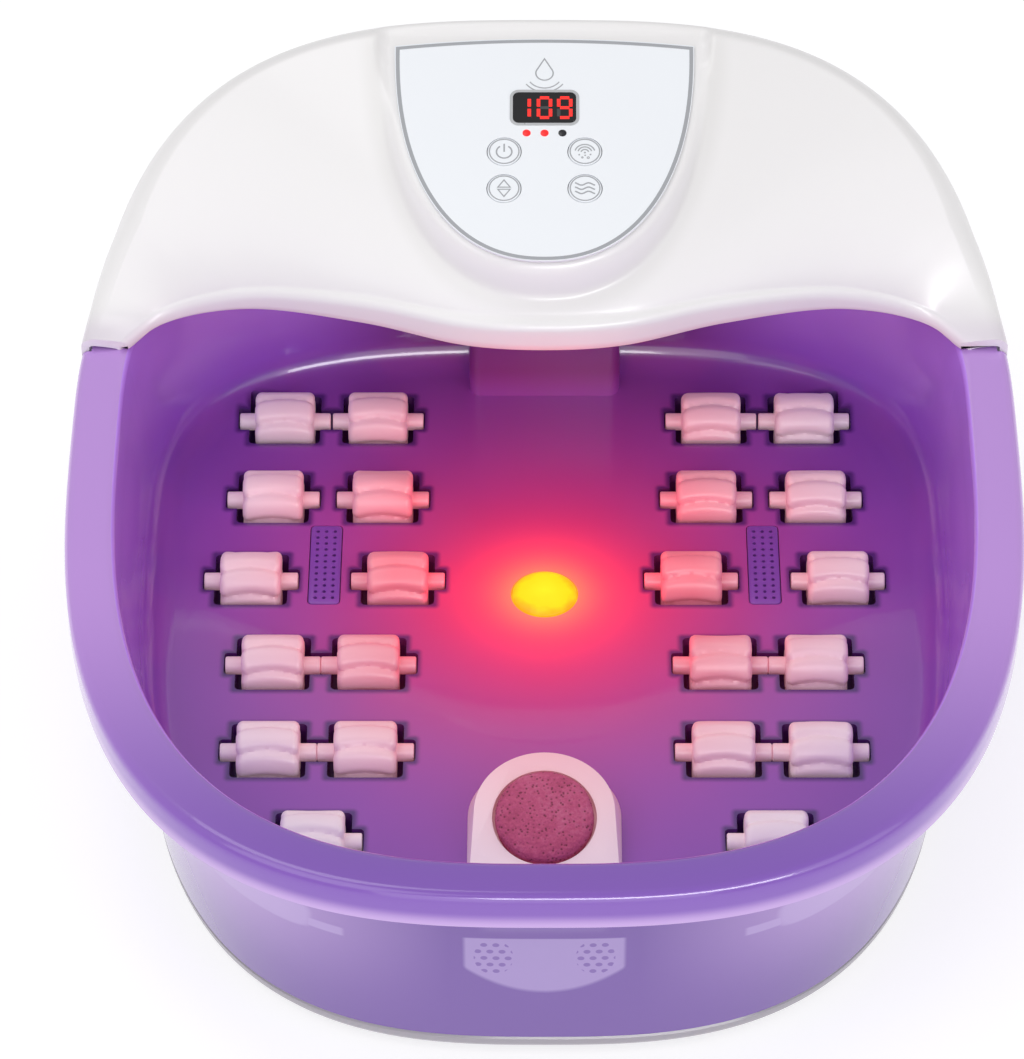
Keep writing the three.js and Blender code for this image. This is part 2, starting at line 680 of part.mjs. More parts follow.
function boardSolid() {
  const { width, length, thickness, along } = BOARD;
  return join([
    panelBlock(width, length, 0, along, boardTop - thickness, boardTop),
    ...keyPlaces.map(([, x, y]) => panelBlock(6, 6, x, y, boardTop - 0.5, boardTop + SWITCH_HEIGHT)),
    panelBlock(14, 9, -30, along + 18, boardTop - thickness - 6, boardTop - thickness + 0.5),
    panelBlock(22, 12, 22, along + 14, boardTop - thickness - 3, boardTop - thickness + 0.5),
  ]);
}

// A key in its own frame: a shallow disc on a stem that stops above its switch.
function keySolid() {
  const top = LABEL_TOP + 0.4;
  const stemFoot = boardTop + SWITCH_HEIGHT + KEY.travel + GAP;
  return join([
    post(KEY.radius, 0, 0, -1.2, top - 0.4, 28),
    post(KEY.radius, 0, 0, top - 0.4, top, 28, KEY.radius - 0.4),
    post(KEY.stemRadius, 0, 0, stemFoot, -1, 10),
  ]);
}

// ---------------------------------------------------------------- heater, lamp, bubble strips
const UNDERSIDE = FLOOR_TOP - WALL;

function heaterSolid() {
  const { width, length, y, thickness } = HEATER;
  const top = UNDERSIDE - GAP;
  return block([-width / 2, y - length / 2, top - thickness], [width / 2, y + length / 2, top]);
}

function thermostatSolid() {
  const top = UNDERSIDE - 2 * GAP - HEATER.thickness;
  return post(8, 16, HEATER.y, top - 5, top, 20).add(post(4, 16, HEATER.y, top - 9, top - 4, 12));
}

function lensSolid() {
  const flange = post(LAMP.radius + 3, 0, LAMP.y, UNDERSIDE - GAP - 2, UNDERSIDE - GAP, 28);
  const body = post(LAMP.radius, 0, LAMP.y, UNDERSIDE - 1.5, FLOOR_TOP, 28);
  const dome = post(LAMP.radius, 0, LAMP.y, FLOOR_TOP - 0.01, FLOOR_TOP + LAMP.dome, 28, LAMP.radius - 5);
  return join([flange, body, dome]);
}

function lightBoardSolid() {
  const top = UNDERSIDE - 8;
  return post(LAMP.boardRadius, 0, LAMP.y, top - 1.6, top, 24).add(
    post(4, 0, LAMP.y, top - 0.5, UNDERSIDE - 2 * GAP - 2, 12),
  );
}

function stripSolid(side) {
  const x = side * FOOT_X;
  const half = { x: STRIP.width / 2 - GAP, y: STRIP.length / 2 - GAP };
  const plate = block(
    [x - half.x, STRIP.y - half.y, FLOOR_TOP - STRIP.depth],
    [x + half.x, STRIP.y + half.y, FLOOR_TOP],
  );
  const chamber = block(
    [x - half.x + 2, STRIP.y - half.y + 2, FLOOR_TOP - STRIP.depth + 2],
    [x + half.x - 2, STRIP.y + half.y - 2, FLOOR_TOP - 1.8],
  );
  const nipple = post(4, x, STRIP.y, FLOOR_TOP - STRIP.depth - 6, FLOOR_TOP - STRIP.depth + 1, 12);
  const holes = Array.from({ length: STRIP.holes }, (_, i) => {
    const along = ((i + 0.5) / STRIP.holes - 0.5) * (STRIP.length - 8);
    return post(1.1, x, STRIP.y + along, FLOOR_TOP - 3, FLOOR_TOP + 1, 8);
  });
  return cut(plate.add(nipple), [
    chamber,
    post(2, x, STRIP.y, FLOOR_TOP - STRIP.depth - 8, FLOOR_TOP - STRIP.depth + 3, 8),
    ...holes,
  ]);
}

// ---------------------------------------------------------------- vibration motor
const vibratorEnd = VIBRATOR.length / 2;

function vibrationMotorSolid() {
  const { y, z, radius, shaft, weightLength } = VIBRATOR;
  const reach = vibratorEnd + 2 + weightLength + 1.5;
  return rod(radius, -vibratorEnd, vibratorEnd, y, z, 24).add(rod(shaft, vibratorEnd - 1, reach, y, z, 10));
}

// Half disc that hangs below its shaft, in its own frame.
function weightSolid() {
  const { weightRadius, weightLength, shaft } = VIBRATOR;
  const lobe = rod(weightRadius, 0, weightLength, 0, 0, 24).subtract(
    block([-1, -30, 0], [weightLength + 1, 30, 30]),
  );
  const hub = rod(shaft + 2, 0, weightLength, 0, 0, 16);
  return lobe.add(hub).subtract(rod(shaft + GAP, -1, weightLength + 1, 0, 0, 10));
}

function clampSolid() {
  const { y, z, radius } = VIBRATOR;
  const top = UNDERSIDE - GAP;
  const saddle = block([-9, y - radius - 3, z - 4], [9, y + radius + 3, z + radius + 3]);
  const foot = block([-9, y - radius - 8, top - 3], [9, y + radius + 8, top]);
  const neck = block([-9, y - 8, z + radius + 1], [9, y + 8, top - 1]);
  return cut(join([saddle, foot, neck]), [rod(radius + GAP, -20, 20, y, z, 24)]);
}

// ---------------------------------------------------------------- blower, air hose and wires
const blowerTop = BLOWER.bottom + BLOWER.height;

function blowerCaseSolid() {
  const { y, bottom, radius } = BLOWER;
  const body = post(radius, 0, y, bottom, blowerTop, 40);
  const spout = post(SPOUT.radius, 0, SPOUT.y, SPOUT.foot, bottom + 1, 16);
  return cut(body.add(spout), [
    post(radius - 3, 0, y, bottom + 2.5, blowerTop - 2.5, 40),
    post(SPOUT.radius - 1.5, 0, SPOUT.y, SPOUT.foot - 1, bottom + 4, 16),
    post(9, 0, y - 6, bottom - 1, bottom + 4, 20),
    post(4, 0, y, blowerTop - 4, blowerTop + 1, 12),
  ]);
}

function blowerMotorSolid() {
  const { y, motorRadius, motorHeight, bottom } = BLOWER;
  const low = blowerTop + GAP;
  return post(motorRadius, 0, y, low, low + motorHeight, 28).add(post(1.5, 0, y, bottom + 6, low + 1, 10));
}

// Wheel of the blower in its own frame, its back plate at the bottom.
function impellerSolid() {
  const { wheelRadius } = BLOWER;
  const blades = Array.from({ length: 10 }, (_, i) => {
    const blade = new THREE.BoxGeometry(wheelRadius - 6, 1.4, 12);
    blade.translate(wheelRadius / 2 + 2.6, 0, 7).rotateZ((i * Math.PI) / 5);
    return solid(blade);
  });
  return join([post(wheelRadius, 0, 0, 0, 1.6, 36), post(5, 0, 0, 0, 14, 16), ...blades]).subtract(
    post(1.5 + GAP, 0, 0, -1, 20, 10),
  );
}

// From the blower's spout down the duct and forward to both bubble strips.
function airHoseSolid() {
  const end = FLOOR_TOP - STRIP.depth - 6 - GAP;
  const trunk = pipe(
    [
      [0, SPOUT.y, SPOUT.foot - GAP],
      [0, SPOUT.y, 60],
      [0, SPOUT.y - 4, 32],
      [0, 148, HOSE.z],
      [0, 138, HOSE.z],
    ],
    HOSE.radius,
    8,
    12,
  );
  const branches = [-1, 1].map((side) =>
    pipe(
      [
        [0, 143, HOSE.z],
        [side * 22, 124, HOSE.z],
        [side * 66, 76, HOSE.z],
        [side * (FOOT_X - 3), STRIP.y + 5, HOSE.z],
        [side * FOOT_X, STRIP.y, HOSE.z + 5],
        [side * FOOT_X, STRIP.y, end],
      ],
      HOSE.radius,
      8,
      14,
    ),
  );
  return join([trunk, ...branches]);
}

// From the control board down the duct to the cord gland, the lamp and the thermostat.
function harnessSolid() {
  return pipe(
    [
      [WIRE.x, 158, 172],
      [WIRE.x, WIRE.y - 3, 156],
      [WIRE.x, WIRE.y, 140],
      [WIRE.x, WIRE.y, 100],
      [WIRE.x, WIRE.y - 8, 50],
      [WIRE.x, 150, 28],
      [28, 118, 28],
      [26, 80, 25],
      [26, 30, 22],
      [16, HEATER.y + 4, 24],
    ],
    2,
    6,
    30,
  );
}

// ---------------------------------------------------------------- pumice stone and its holder
const stoneTurn = new THREE.Matrix4()
  .makeTranslation(0, STONE.y, STONE.z)
  .multiply(new THREE.Matrix4().makeRotationX((STONE.tilt * Math.PI) / 180));

// Level ring with a round end towards the toes and a square end at the front.
function archRing(halfWidth, back, z) {
  const steps = 20;
  const rear = Array.from({ length: steps + 1 }, (_, i) => {
    const turn = (Math.PI * i) / steps;
    return new THREE.Vector3(halfWidth * Math.cos(turn), back - halfWidth * (1 - Math.sin(turn)), z);
  });
  const front = [-halfWidth, halfWidth].map((x) => new THREE.Vector3(x, HOLDER.front, z));
  return [...rear, ...front];
}

function holderSolid() {
  const { halfWidth, back, topWidth, topBack, topHeight } = HOLDER;
  const body = loft([archRing(halfWidth, back, FLOOR_TOP + GAP), archRing(topWidth, topBack, topHeight)]);
  const above = solid(
    new THREE.BoxGeometry(200, 300, 80).translate(0, 0, 40 - STONE.proud).applyMatrix4(stoneTurn),
  );
  const pocket = solid(
    new THREE.CylinderGeometry(STONE.radius + 0.5, STONE.radius + 0.5, 40, 32)
      .rotateX(Math.PI / 2)
      .translate(0, 0, 20 - STONE.thickness - GAP)
      .applyMatrix4(stoneTurn),
  );
  return cut(body, [above, pocket]);
}

// The stone in its own frame, its face at the top.
function stoneSolid() {
  const { radius, thickness } = STONE;
  return join([
    post(radius, 0, 0, -thickness, -2, 32),
    post(radius, 0, 0, -2.01, 0, 32, radius - 2.5),
  ]);
}

// ---------------------------------------------------------------- the whole basin
add("basin", basinSolid(), PURPLE);
add("base_pan", panSolid(), WHITE);
for (const { name, x, y } of panFeet) add(name, footSolid(), RUBBER).position.set(x, y, 0);
bossPlaces.forEach(([x, y], i) => add(`base_screw_${i + 1}`, screwSolid(), STEEL).position.set(x, y, 0));
const rollerGeometry = geometryOf(rollerSolid());
for (const { name, x, y } of rollers) add(name, rollerGeometry, WHITE).position.set(x, y, AXIS_Z);

add("hood", hoodSolid(), WHITE);
add("hood_liner", linerSolid(), WHITE);
add("rear_cover", coverSolid(), WHITE);
add("cord_gland", glandSolid(), DARK);
add("panel_overlay", overlaySolid(), LABEL);
add("display_window", displayWindowSolid(), SMOKED);
add("display_module", displayModuleSolid(), DARK);
add("control_board", boardSolid(), CIRCUIT);
const keyGeometry = geometryOf(keySolid());
for (const [name, x, y] of keyPlaces) add(name, keyGeometry, LABEL, panelFrame).position.set(x, y, 0);

add("heater_plate", heaterSolid(), ALUMINIUM);
add("thermostat", thermostatSolid(), DARK);
add("light_lens", lensSolid(), RED);
add("light_board", lightBoardSolid(), CIRCUIT);
add("bubble_strip_left", stripSolid(-1), PURPLE);
add("bubble_strip_right", stripSolid(1), PURPLE);
add("vibration_motor", vibrationMotorSolid(), STEEL);
add("vibration_weight", weightSolid(), STEEL).position.set(vibratorEnd + 2, VIBRATOR.y, VIBRATOR.z);
add("motor_clamp", clampSolid(), WHITE);
add("blower_case", blowerCaseSolid(), DARK);
add("blower_motor", blowerMotorSolid(), STEEL);
add("blower_impeller", impellerSolid(), WHITE).position.set(0, BLOWER.y, BLOWER.bottom + 4);
add("air_hose", airHoseSolid(), RUBBER);
add("wire_harness", harnessSolid(), DARK);
add("pumice_holder", holderSolid(), WHITE);
const stone = add("pumice_stone", stoneSolid(), STONE_PINK);
stone.position.set(0, STONE.y, STONE.z);
stone.rotation.x = (STONE.tilt * Math.PI) / 180;

export default object;
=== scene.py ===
"""Foot spa basin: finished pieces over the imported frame, laid out as an add-on."""

import math

import bmesh
import bpy
import numpy as np
from bpy.props import FloatProperty, FloatVectorProperty, IntProperty, PointerProperty
from mathutils import Matrix, Vector


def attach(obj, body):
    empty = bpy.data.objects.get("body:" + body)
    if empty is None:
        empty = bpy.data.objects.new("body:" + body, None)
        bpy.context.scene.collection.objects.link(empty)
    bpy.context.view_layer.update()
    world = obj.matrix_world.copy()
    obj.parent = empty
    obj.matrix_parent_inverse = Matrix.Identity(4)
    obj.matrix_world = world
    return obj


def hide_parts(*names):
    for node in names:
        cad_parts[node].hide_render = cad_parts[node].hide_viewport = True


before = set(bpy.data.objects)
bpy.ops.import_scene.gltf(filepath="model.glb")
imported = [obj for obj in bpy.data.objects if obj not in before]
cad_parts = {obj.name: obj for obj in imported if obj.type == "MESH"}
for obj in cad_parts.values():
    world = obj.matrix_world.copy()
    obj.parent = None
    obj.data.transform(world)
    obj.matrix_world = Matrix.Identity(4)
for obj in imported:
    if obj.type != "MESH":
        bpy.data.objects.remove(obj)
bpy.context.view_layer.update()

bl_info = {
    "name": "Foot spa basin",
    "version": (1, 0, 0),
    "blender": (4, 5, 0),
    "location": "3D View > Sidebar > Foot spa",
    "description": "Builds the finished pieces of a foot spa basin over its frame",
    "category": "Add Mesh",
}

MM = 0.001
DUCT_HALF_WIDTH = 28 * MM
DUCT_FRONT = 156 * MM
DUCT_WALL = 3 * MM
TUB = "tub"  # the body that everything still rides on


# ------------------------------------------------------------------ sizes and colours
def length(name, text, millimetres):
    """A length property whose default is given in millimetres."""
    return FloatProperty(
        name=name, description=text, default=millimetres * MM, unit="LENGTH", precision=4
    )


def number(name, text, value):
    return FloatProperty(name=name, description=text, default=value)


def colour(name, text, value):
    return FloatVectorProperty(
        name=name, description=text, default=value, subtype="COLOR", size=3, min=0.0, max=1.0
    )


class FOOTSPA_PG_tub(bpy.types.PropertyGroup):
    """Sizes of the tub and the pan below it."""

    half_width: length("Half width", "From the middle to the rim's outer face", 183.5)
    front: length("Front reach", "From the origin to the heel end", 200)
    back: length("Back reach", "From the origin to the toe end", 200)
    widest: length("Widest line", "How far back the tub is widest", 58)
    front_across: number("Front curve across", "Exponent of the heel end's outline, across", 2.8)
    front_along: number("Front curve along", "Exponent of the heel end's outline, along", 2.9)
    back_across: number("Back curve across", "Exponent of the toe end's outline, across", 3.0)
    back_along: number("Back curve along", "Exponent of the toe end's outline, along", 3.1)
    wall: length("Wall", "Thickness of every moulded wall", 3)
    rim_width: length("Rim width", "From the rim's outer face to the inner wall", 19)
    rim_top: length("Rim top", "Height of the rim", 118)
    skirt: length("Skirt", "Height of the rim's hanging skirt", 16)
    rim_round: length("Rim round", "Radius of the rim's outer top edge", 4)
    lean_side: length("Lean, sides", "How far the side walls lean in", 11)
    lean_front: length("Lean, front", "How far the front wall leans in", 13.5)
    lean_back: length("Lean, back", "How far the back wall leans in", 6)
    wall_foot: length("Wall foot", "Height of the wall's lower edge", 12)
    floor_top: length("Floor", "Height of the tub's floor", 45)
    floor_fillet: length("Floor fillet", "Radius between the wall and the floor", 13)
    pan_bottom: length("Pan bottom", "Height of the pan's underside", 3)
    pan_tuck: length("Pan tuck", "How far the pan's underside is smaller than its rim", 8)
    columns: IntProperty(name="Columns", description="Points round the tub", default=264)


class FOOTSPA_PG_hood(bpy.types.PropertyGroup):
    """Sizes of the hood over the toes."""

    start: length("Hood front", "Where the hood's sides end on the rim", 97)
    lip_height: length("Lip height", "Height of the front band at the middle", 13)
    lip_round: length("Lip round", "Radius of the lip's top edge", 4)
    ridge_top: length("Ridge", "Height of the hood at its back", 210)
    ridge_start: length("Ridge start", "The ridge rises behind this line", 112)
    shoulder_across: length("Shoulder across", "Rounding of the back edge, across", 15)
    shoulder_down: length("Shoulder down", "Rounding of the back edge, down", 17)
    rise: number("Rise", "Exponent of the rise from the lip to the ridge", 0.76)
    columns: IntProperty(name="Columns", description="Sections from side to side", default=340)
    rows: IntProperty(name="Rows", description="Points from the lip to the ridge", default=120)


class FOOTSPA_PG_panel(bpy.types.PropertyGroup):
    """Sizes of the key panel. Its frame lies on the label's lower point and leans back."""

    y: length("Lower point Y", "Where the label's lower point is, along", 81)
    z: length("Lower point Z", "Height of the label's lower point", 175.5)
    tilt: FloatProperty(
        name="Tilt", description="Slope of the panel", default=math.radians(16), subtype="ANGLE"
    )
    length: length("Label length", "From its lower point to its top edge", 106)
    half_width: length("Label half width", "At its top edge", 59)
    curve: number("Label curve", "Exponent of the label's outline", 2.25)
    arch: length("Arch", "Rise of the label's top edge", 3.5)
    margin: length("Platform margin", "Flat border round the label", 4)
    flare: length("Platform flare", "How far the platform widens to its foot", 12)
    drop: length("Platform drop", "Height over which it widens", 20)
    lengthwise: number("Lengthwise share", "Share of margin and flare used along the panel", 0.3)
    label: length("Label thickness", "Thickness of the label", 1)
    gap: length("Gap", "Between two pieces that touch", 0.3)
    display_along: length("Display place", "Distance of the display from the lower point", 72.5)
    display_width: length("Display width", "Width of the display's window", 26)
    display_height: length("Display height", "Height of the display's window", 16)
    key_radius: length("Key radius", "Radius of a key", 6.5)
    key_x: length("Key X", "Distance of a key from the middle", 15.7)
    key_upper: length("Upper keys", "Distance of the upper keys from the lower point", 51.5)
    key_lower: length("Lower keys", "Distance of the lower keys from the lower point", 34)


class FOOTSPA_PG_rollers(bpy.types.PropertyGroup):
    """Sizes of the massage rollers and their pits."""

    foot_x: length("Foot X", "Distance of each foot's centre line from the middle", 87)
    first_row: length("First row", "Where the row at the toes is", 138)
    pitch: length("Row pitch", "Distance between rows", 47.8)
    drop: length("Axis drop", "Roller axis below the floor", 1)
    drum_radius: length("Drum radius", "Radius over the ribs", 12)
    drum_length: length("Drum length", "Length of the drum", 24)
    stub_radius: length("Stub radius", "Radius of a stub shaft", 3.5)
    length: length("Roller length", "Over both stub shafts", 37)
    ribs: IntProperty(name="Ribs", description="Rounded ribs round a drum", default=6)
    valley: length("Valley", "Depth between two ribs", 1.5)
    clearance: length("Pit clearance", "Between a drum and its pit", 2.5)
    slot: length("Stub slot", "Width of the recess round a stub shaft", 12)


class FOOTSPA_PG_fittings(bpy.types.PropertyGroup):
    """Sizes of the lamp, the bubble strips and the pumice stone."""

    lamp_y: length("Lamp Y", "Place of the lamp along the tub", 34)
    lamp_radius: length("Lamp radius", "Radius of the lens", 13)
    strip_y: length("Strip Y", "Place of the bubble strips along the tub", 51)
    strip_width: length("Strip width", "Width of a bubble strip", 13)
    strip_length: length("Strip length", "Length of a bubble strip", 46)
    stone_y: length("Stone Y", "Place of the stone's face", -103)
    stone_z: length("Stone Z", "Height of the stone's face", 62)
    stone_radius: length("Stone radius", "Radius of the pumice stone", 19)
    stone_thickness: length("Stone thickness", "Thickness of the pumice stone", 10)
    stone_tilt: FloatProperty(
        name="Stone tilt",
        description="Lean of the stone",
        default=math.radians(18),
        subtype="ANGLE",
    )
    holder_front: length("Holder front", "Front end of the stone's holder", -166)
    holder_back: length("Holder back", "Back of the stone's holder at the floor", -60)
    holder_half: length("Holder half width", "At the floor", 29)
    holder_top_back: length("Holder top back", "Back of the holder at its top", -79)
    holder_top_half: length("Holder top half width", "At its top", 24)
    holder_top: length("Holder top", "Height of the holder before its face is cut", 72)


class FOOTSPA_PG_colours(bpy.types.PropertyGroup):
    """Colours of the finishes."""

    # The tub's colours are lighter and darker copies of its one violet plastic, standing in for
    # light and shade: painted shade on the low inner walls, the heel end of the outer wall and rim,
    # under the hood and in the pits; painted light on the upper inner walls, the outer sides, the
    # rim's sides and the skirt's foot. tub_deep also gives the inner faces faint random patches.
    tub_deep: colour("Tub, deep", "Violet plastic of the low walls", (0.30, 0.105, 0.72))
    tub_wall: colour("Tub, wall", "Violet plastic of the inner walls", (0.56, 0.30, 1.0))
    # Painted shade: near black violet for the inner back wall where the hood shades it.
    tub_hood_shade: colour("Tub, back", "Inner wall under the hood", (0.13, 0.02, 0.13))
    tub_floor: colour("Tub, floor", "Violet plastic of the floor", (0.26, 0.07, 0.44))
    tub_lit: colour("Tub, lit", "Floor in the light of the lamp", (0.60, 0.035, 0.075))
    # Painted shade in the rollers' pits and on the floor round them.
    tub_pit_shade: colour("Tub, pits", "Depths of the rollers' pits", (0.035, 0.010, 0.12))
    tub_front: colour("Tub, front", "Outer wall at the heel end", (0.155, 0.070, 0.34))
    tub_side: colour("Tub, sides", "Outer wall at the sides", (0.52, 0.34, 0.70))
    tub_rim: colour("Tub, rim", "Violet plastic at the rim's sides", (0.52, 0.28, 0.74))
    tub_rim_front: colour(
        "Tub, rim front", "Violet plastic at the rim's front", (0.21, 0.085, 0.46)
    )
    shell: colour("Shell", "White mouldings", (0.86, 0.845, 0.85))
    # Painted shade: the grey laid on the flared wall round the label.
    platform: colour(
        "Platform shade", "Grey of the flared wall round the label", (0.80, 0.785, 0.785)
    )
    label: colour("Label", "Film of the key panel", (0.90, 0.925, 0.97))
    print_grey: colour("Print", "Printed lines", (0.38, 0.39, 0.42))
    roller: colour("Rollers", "White rollers", (0.86, 0.83, 0.87))
    stone: colour("Stone", "Pumice", (0.50, 0.085, 0.19))


GROUPS = {
    "spa_tub": FOOTSPA_PG_tub,
    "spa_hood": FOOTSPA_PG_hood,
    "spa_panel": FOOTSPA_PG_panel,
    "spa_rollers": FOOTSPA_PG_rollers,
    "spa_fittings": FOOTSPA_PG_fittings,
    "spa_colours": FOOTSPA_PG_colours,
}


# ------------------------------------------------------------------ node trees
class Term:
    """A socket in a node tree. Arithmetic on it adds Math nodes."""

    def __init__(self, graph, socket):
        self.graph = graph
        self.socket = socket

    def _math(self, operation, *others):
        return self.graph.node("ShaderNodeMath", {"operation": operation}, [self, *others])

    def _flipped(self, operation, other):
        return self.graph.node("ShaderNodeMath", {"operation": operation}, [other, self])

    def __add__(self, other):
        return self._math("ADD", other)

    __radd__ = __add__

    def __sub__(self, other):
        return self._math("SUBTRACT", other)

    def __rsub__(self, other):
        return self._flipped("SUBTRACT", other)

    def __mul__(self, other):
        return self._math("MULTIPLY", other)

    __rmul__ = __mul__

    def __truediv__(self, other):
        return self._math("DIVIDE", other)

    def __rtruediv__(self, other):
        return self._flipped("DIVIDE", other)

    def __pow__(self, other):
        return self._math("POWER", other)

    def __neg__(self):
        return self._math("MULTIPLY", -1.0)

    def __abs__(self):
        return self._math("ABSOLUTE")

    def sin(self):
        return self._math("SINE")

    def cos(self):
        return self._math("COSINE")

    def sqrt(self):
        return self._math("SQRT")

    def exp(self):
        return self._math("EXPONENT")

    def least(self, other):
        return self._math("MINIMUM", other)

    def most(self, other):
        return self._math("MAXIMUM", other)

    def clamped(self):
        return self.most(0.0).least(1.0)

    def smooth(self, low, high):
        """0 below low, 1 above high, and an even ramp between."""
        part = ((self - low) / (high - low)).clamped()
        return part * part * (3.0 - 2.0 * part)


class Graph:
    """A node tree that is being written."""

    def __init__(self, tree):
        self.tree = tree

    def node(self, kind, settings=None, inputs=(), output=0):
        """Adds one node: its settings first, then the values or links of its sockets."""
        made = self.tree.nodes.new(kind)
        for name, value in (settings or {}).items():
            if name == "stops":
                self._stops(made.color_ramp, value)
            else:
                setattr(made, name, value)
        pairs = inputs.items() if isinstance(inputs, dict) else enumerate(inputs)
        for key, value in pairs:
            self.feed(made.inputs[key], value)
        return Term(self, made.outputs[output])

    def feed(self, socket, value):
        if isinstance(value, Term):
            self.tree.links.new(value.socket, socket)
        elif value is not None:
            socket.default_value = value

    def _stops(self, ramp, stops):
        while len(ramp.elements) < len(stops):
            ramp.elements.new(0.5)
        for element, (place, shade) in zip(ramp.elements, stops):
            element.position = place
            element.color = (*shade, 1.0)

    def place(self):
        """X, Y and Z of the point, in the object's frame."""
        where = self.node("ShaderNodeTexCoord", output="Object")
        split = self.node("ShaderNodeSeparateXYZ", inputs=[where])
        node = split.socket.node
        return where, *(Term(self, node.outputs[i]) for i in range(3))

    def noise(self, where, scale, detail=3.0, roughness=0.5):
        return self.node(
            "ShaderNodeTexNoise",
            inputs={"Vector": where, "Scale": scale, "Detail": detail, "Roughness": roughness},
            output="Fac",
        )

    def mix(self, share, first, second):
        """Colour between two colours."""
        made = self.tree.nodes.new("ShaderNodeMix")
        made.data_type = "RGBA"
        for socket, value in zip(
            (made.inputs[0], made.inputs[6], made.inputs[7]), (share, first, second)
        ):
            self.feed(socket, value if isinstance(value, Term) or value is share else (*value, 1.0))
        return Term(self, made.outputs[2])

    def scaled(self, shade, amount):
        """A colour times an amount."""
        colour_term = shade if isinstance(shade, Term) else (*shade,)
        return self.node(
            "ShaderNodeVectorMath", {"operation": "SCALE"}, {0: colour_term, "Scale": amount}
        )

    def bump(self, height, distance, strength=1.0):
        return self.node(
            "ShaderNodeBump", inputs={"Height": height, "Distance": distance, "Strength": strength},
            output="Normal",
        )


def finish(name, fixed=None):
    """A new material: its graph, and a function that feeds its surface shader."""
    material = bpy.data.materials.new(name)
    material.use_nodes = True
    shader = material.node_tree.nodes["Principled BSDF"]
    for socket, value in (fixed or {}).items():
        shader.inputs[socket].default_value = value
    graph = Graph(material.node_tree)

    def feed(**values):
        for socket, value in values.items():
            graph.feed(shader.inputs[socket.replace("_", " ")], value)

    return material, graph, feed


def shade(name):
    """A colour from the add-on's settings."""
    return tuple(getattr(bpy.context.scene.spa_colours, name))


def glow(x, y, reach):
    """Share of the lamp's light at a point of the floor, falling off over a reach."""
    lamp_y = bpy.context.scene.spa_fittings.lamp_y
    far = (x * x + (y - lamp_y) * (y - lamp_y)) / (reach * reach)
    return (-far).exp()


def within_walls(graph, x, y, z):
    """1 on the tub's inner faces and 0 on its outer ones, parted at the middle of its wall."""
    s = bpy.context.scene.spa_tub
    share = (s.rim_top - z) / (s.rim_top - s.wall_foot)
    inset = s.rim_width - s.wall / 2
    across = abs(x) / (s.half_width - inset - s.lean_side * share)
    ahead = (s.widest - y).most(0.0) / (s.widest + s.front - inset - s.lean_front * share)
    behind = (y - s.widest).most(0.0) / (s.back - inset - s.widest - s.lean_back * share)
    heel = across**s.front_across + ahead**s.front_along
    toes = across**s.back_across + behind**s.back_along
    in_front = graph.node("ShaderNodeMath", {"operation": "LESS_THAN"}, [y, s.widest])
    value = heel * in_front + toes * (1.0 - in_front)
    return (1.0 - value).smooth(-0.004, 0.004)


def pit_edge_shade(x, y):
    """Painted shade mask: 1 at the pits of the rollers, fading out over the floor round them."""
    r = bpy.context.scene.spa_rollers
    side = abs(x) - r.foot_x
    least = None
    for row, spread in roller_places(r)[1]:
        ahead = abs(y - row)
        across = abs(abs(side) - spread)
        drum_x = (across - r.drum_length / 2 - r.clearance).most(0.0)
        drum_y = (ahead - r.drum_radius - r.clearance).most(0.0)
        stub_x = (across - r.length / 2).most(0.0)
        stub_y = (ahead - r.slot / 2).most(0.0)
        away = (drum_x * drum_x + drum_y * drum_y).least(stub_x * stub_x + stub_y * stub_y)
        least = away if least is None else least.least(away)
    return 1.0 - least.sqrt().smooth(0.0002, 0.0030)


def seen_through(graph, x, y, z):
    """Share of the white pieces behind the heel wall that shows through it, with a faint painted
    reflection above the holder.
    """
    ahead = 1.0 - y.smooth(-0.165, -0.10)
    f = bpy.context.scene.spa_fittings
    side = abs(x) / f.holder_half
    foot = 0.040 + 0.014 * side**2.0
    holder = (1.0 - side.smooth(0.97, 1.04)) * z.smooth(foot, foot + 0.003) * (
        1.0 - z.smooth(0.0735, 0.0745)
    )
    u, v = x / 0.0044, z / 0.0040
    row = graph.node("ShaderNodeMath", {"operation": "FLOOR"}, [v])
    odd = graph.node("ShaderNodeMath", {"operation": "PINGPONG"}, [row, 1.0])
    du, dv = (
        graph.node(
            "ShaderNodeMath", {"operation": "FRACT"}, [part]
        ) - 0.5 for part in (u + odd * 0.5, v)
    )
    hole = 1.0 - (du * du + dv * dv).sqrt().smooth(0.24, 0.34)
    cluster = ((abs(x) - 0.0185) / 0.0072) ** 2.0 + ((z - 0.0625) / 0.0105) ** 2.0
    holes = hole * (1.0 - cluster.smooth(0.95, 1.05))
    # Painted reflection: a faint pale patch above the holder's shape.
    above = (
        1.0 - (abs(x) / 0.024).smooth(0.8, 1.05)
    ) * z.smooth(0.076, 0.081) * (1.0 - z.smooth(0.09, 0.1))
    across, up = (abs(x) - 0.106) / 0.021, (z - 0.070) / 0.0085
    roller = 1.0 - (across**4.0 + up**4.0).smooth(0.6, 1.3)
    stub = (
        1.0 - (abs(abs(x) - 0.080) / 0.007).smooth(0.8, 1.1)
    ) * (1.0 - (abs(z - 0.067) / 0.0025).smooth(0.7, 1.2))
    pale = holder * (1.0 - holes * 0.8) + 0.25 * above + roller.most(stub) * 0.75
    return pale.clamped() * ahead


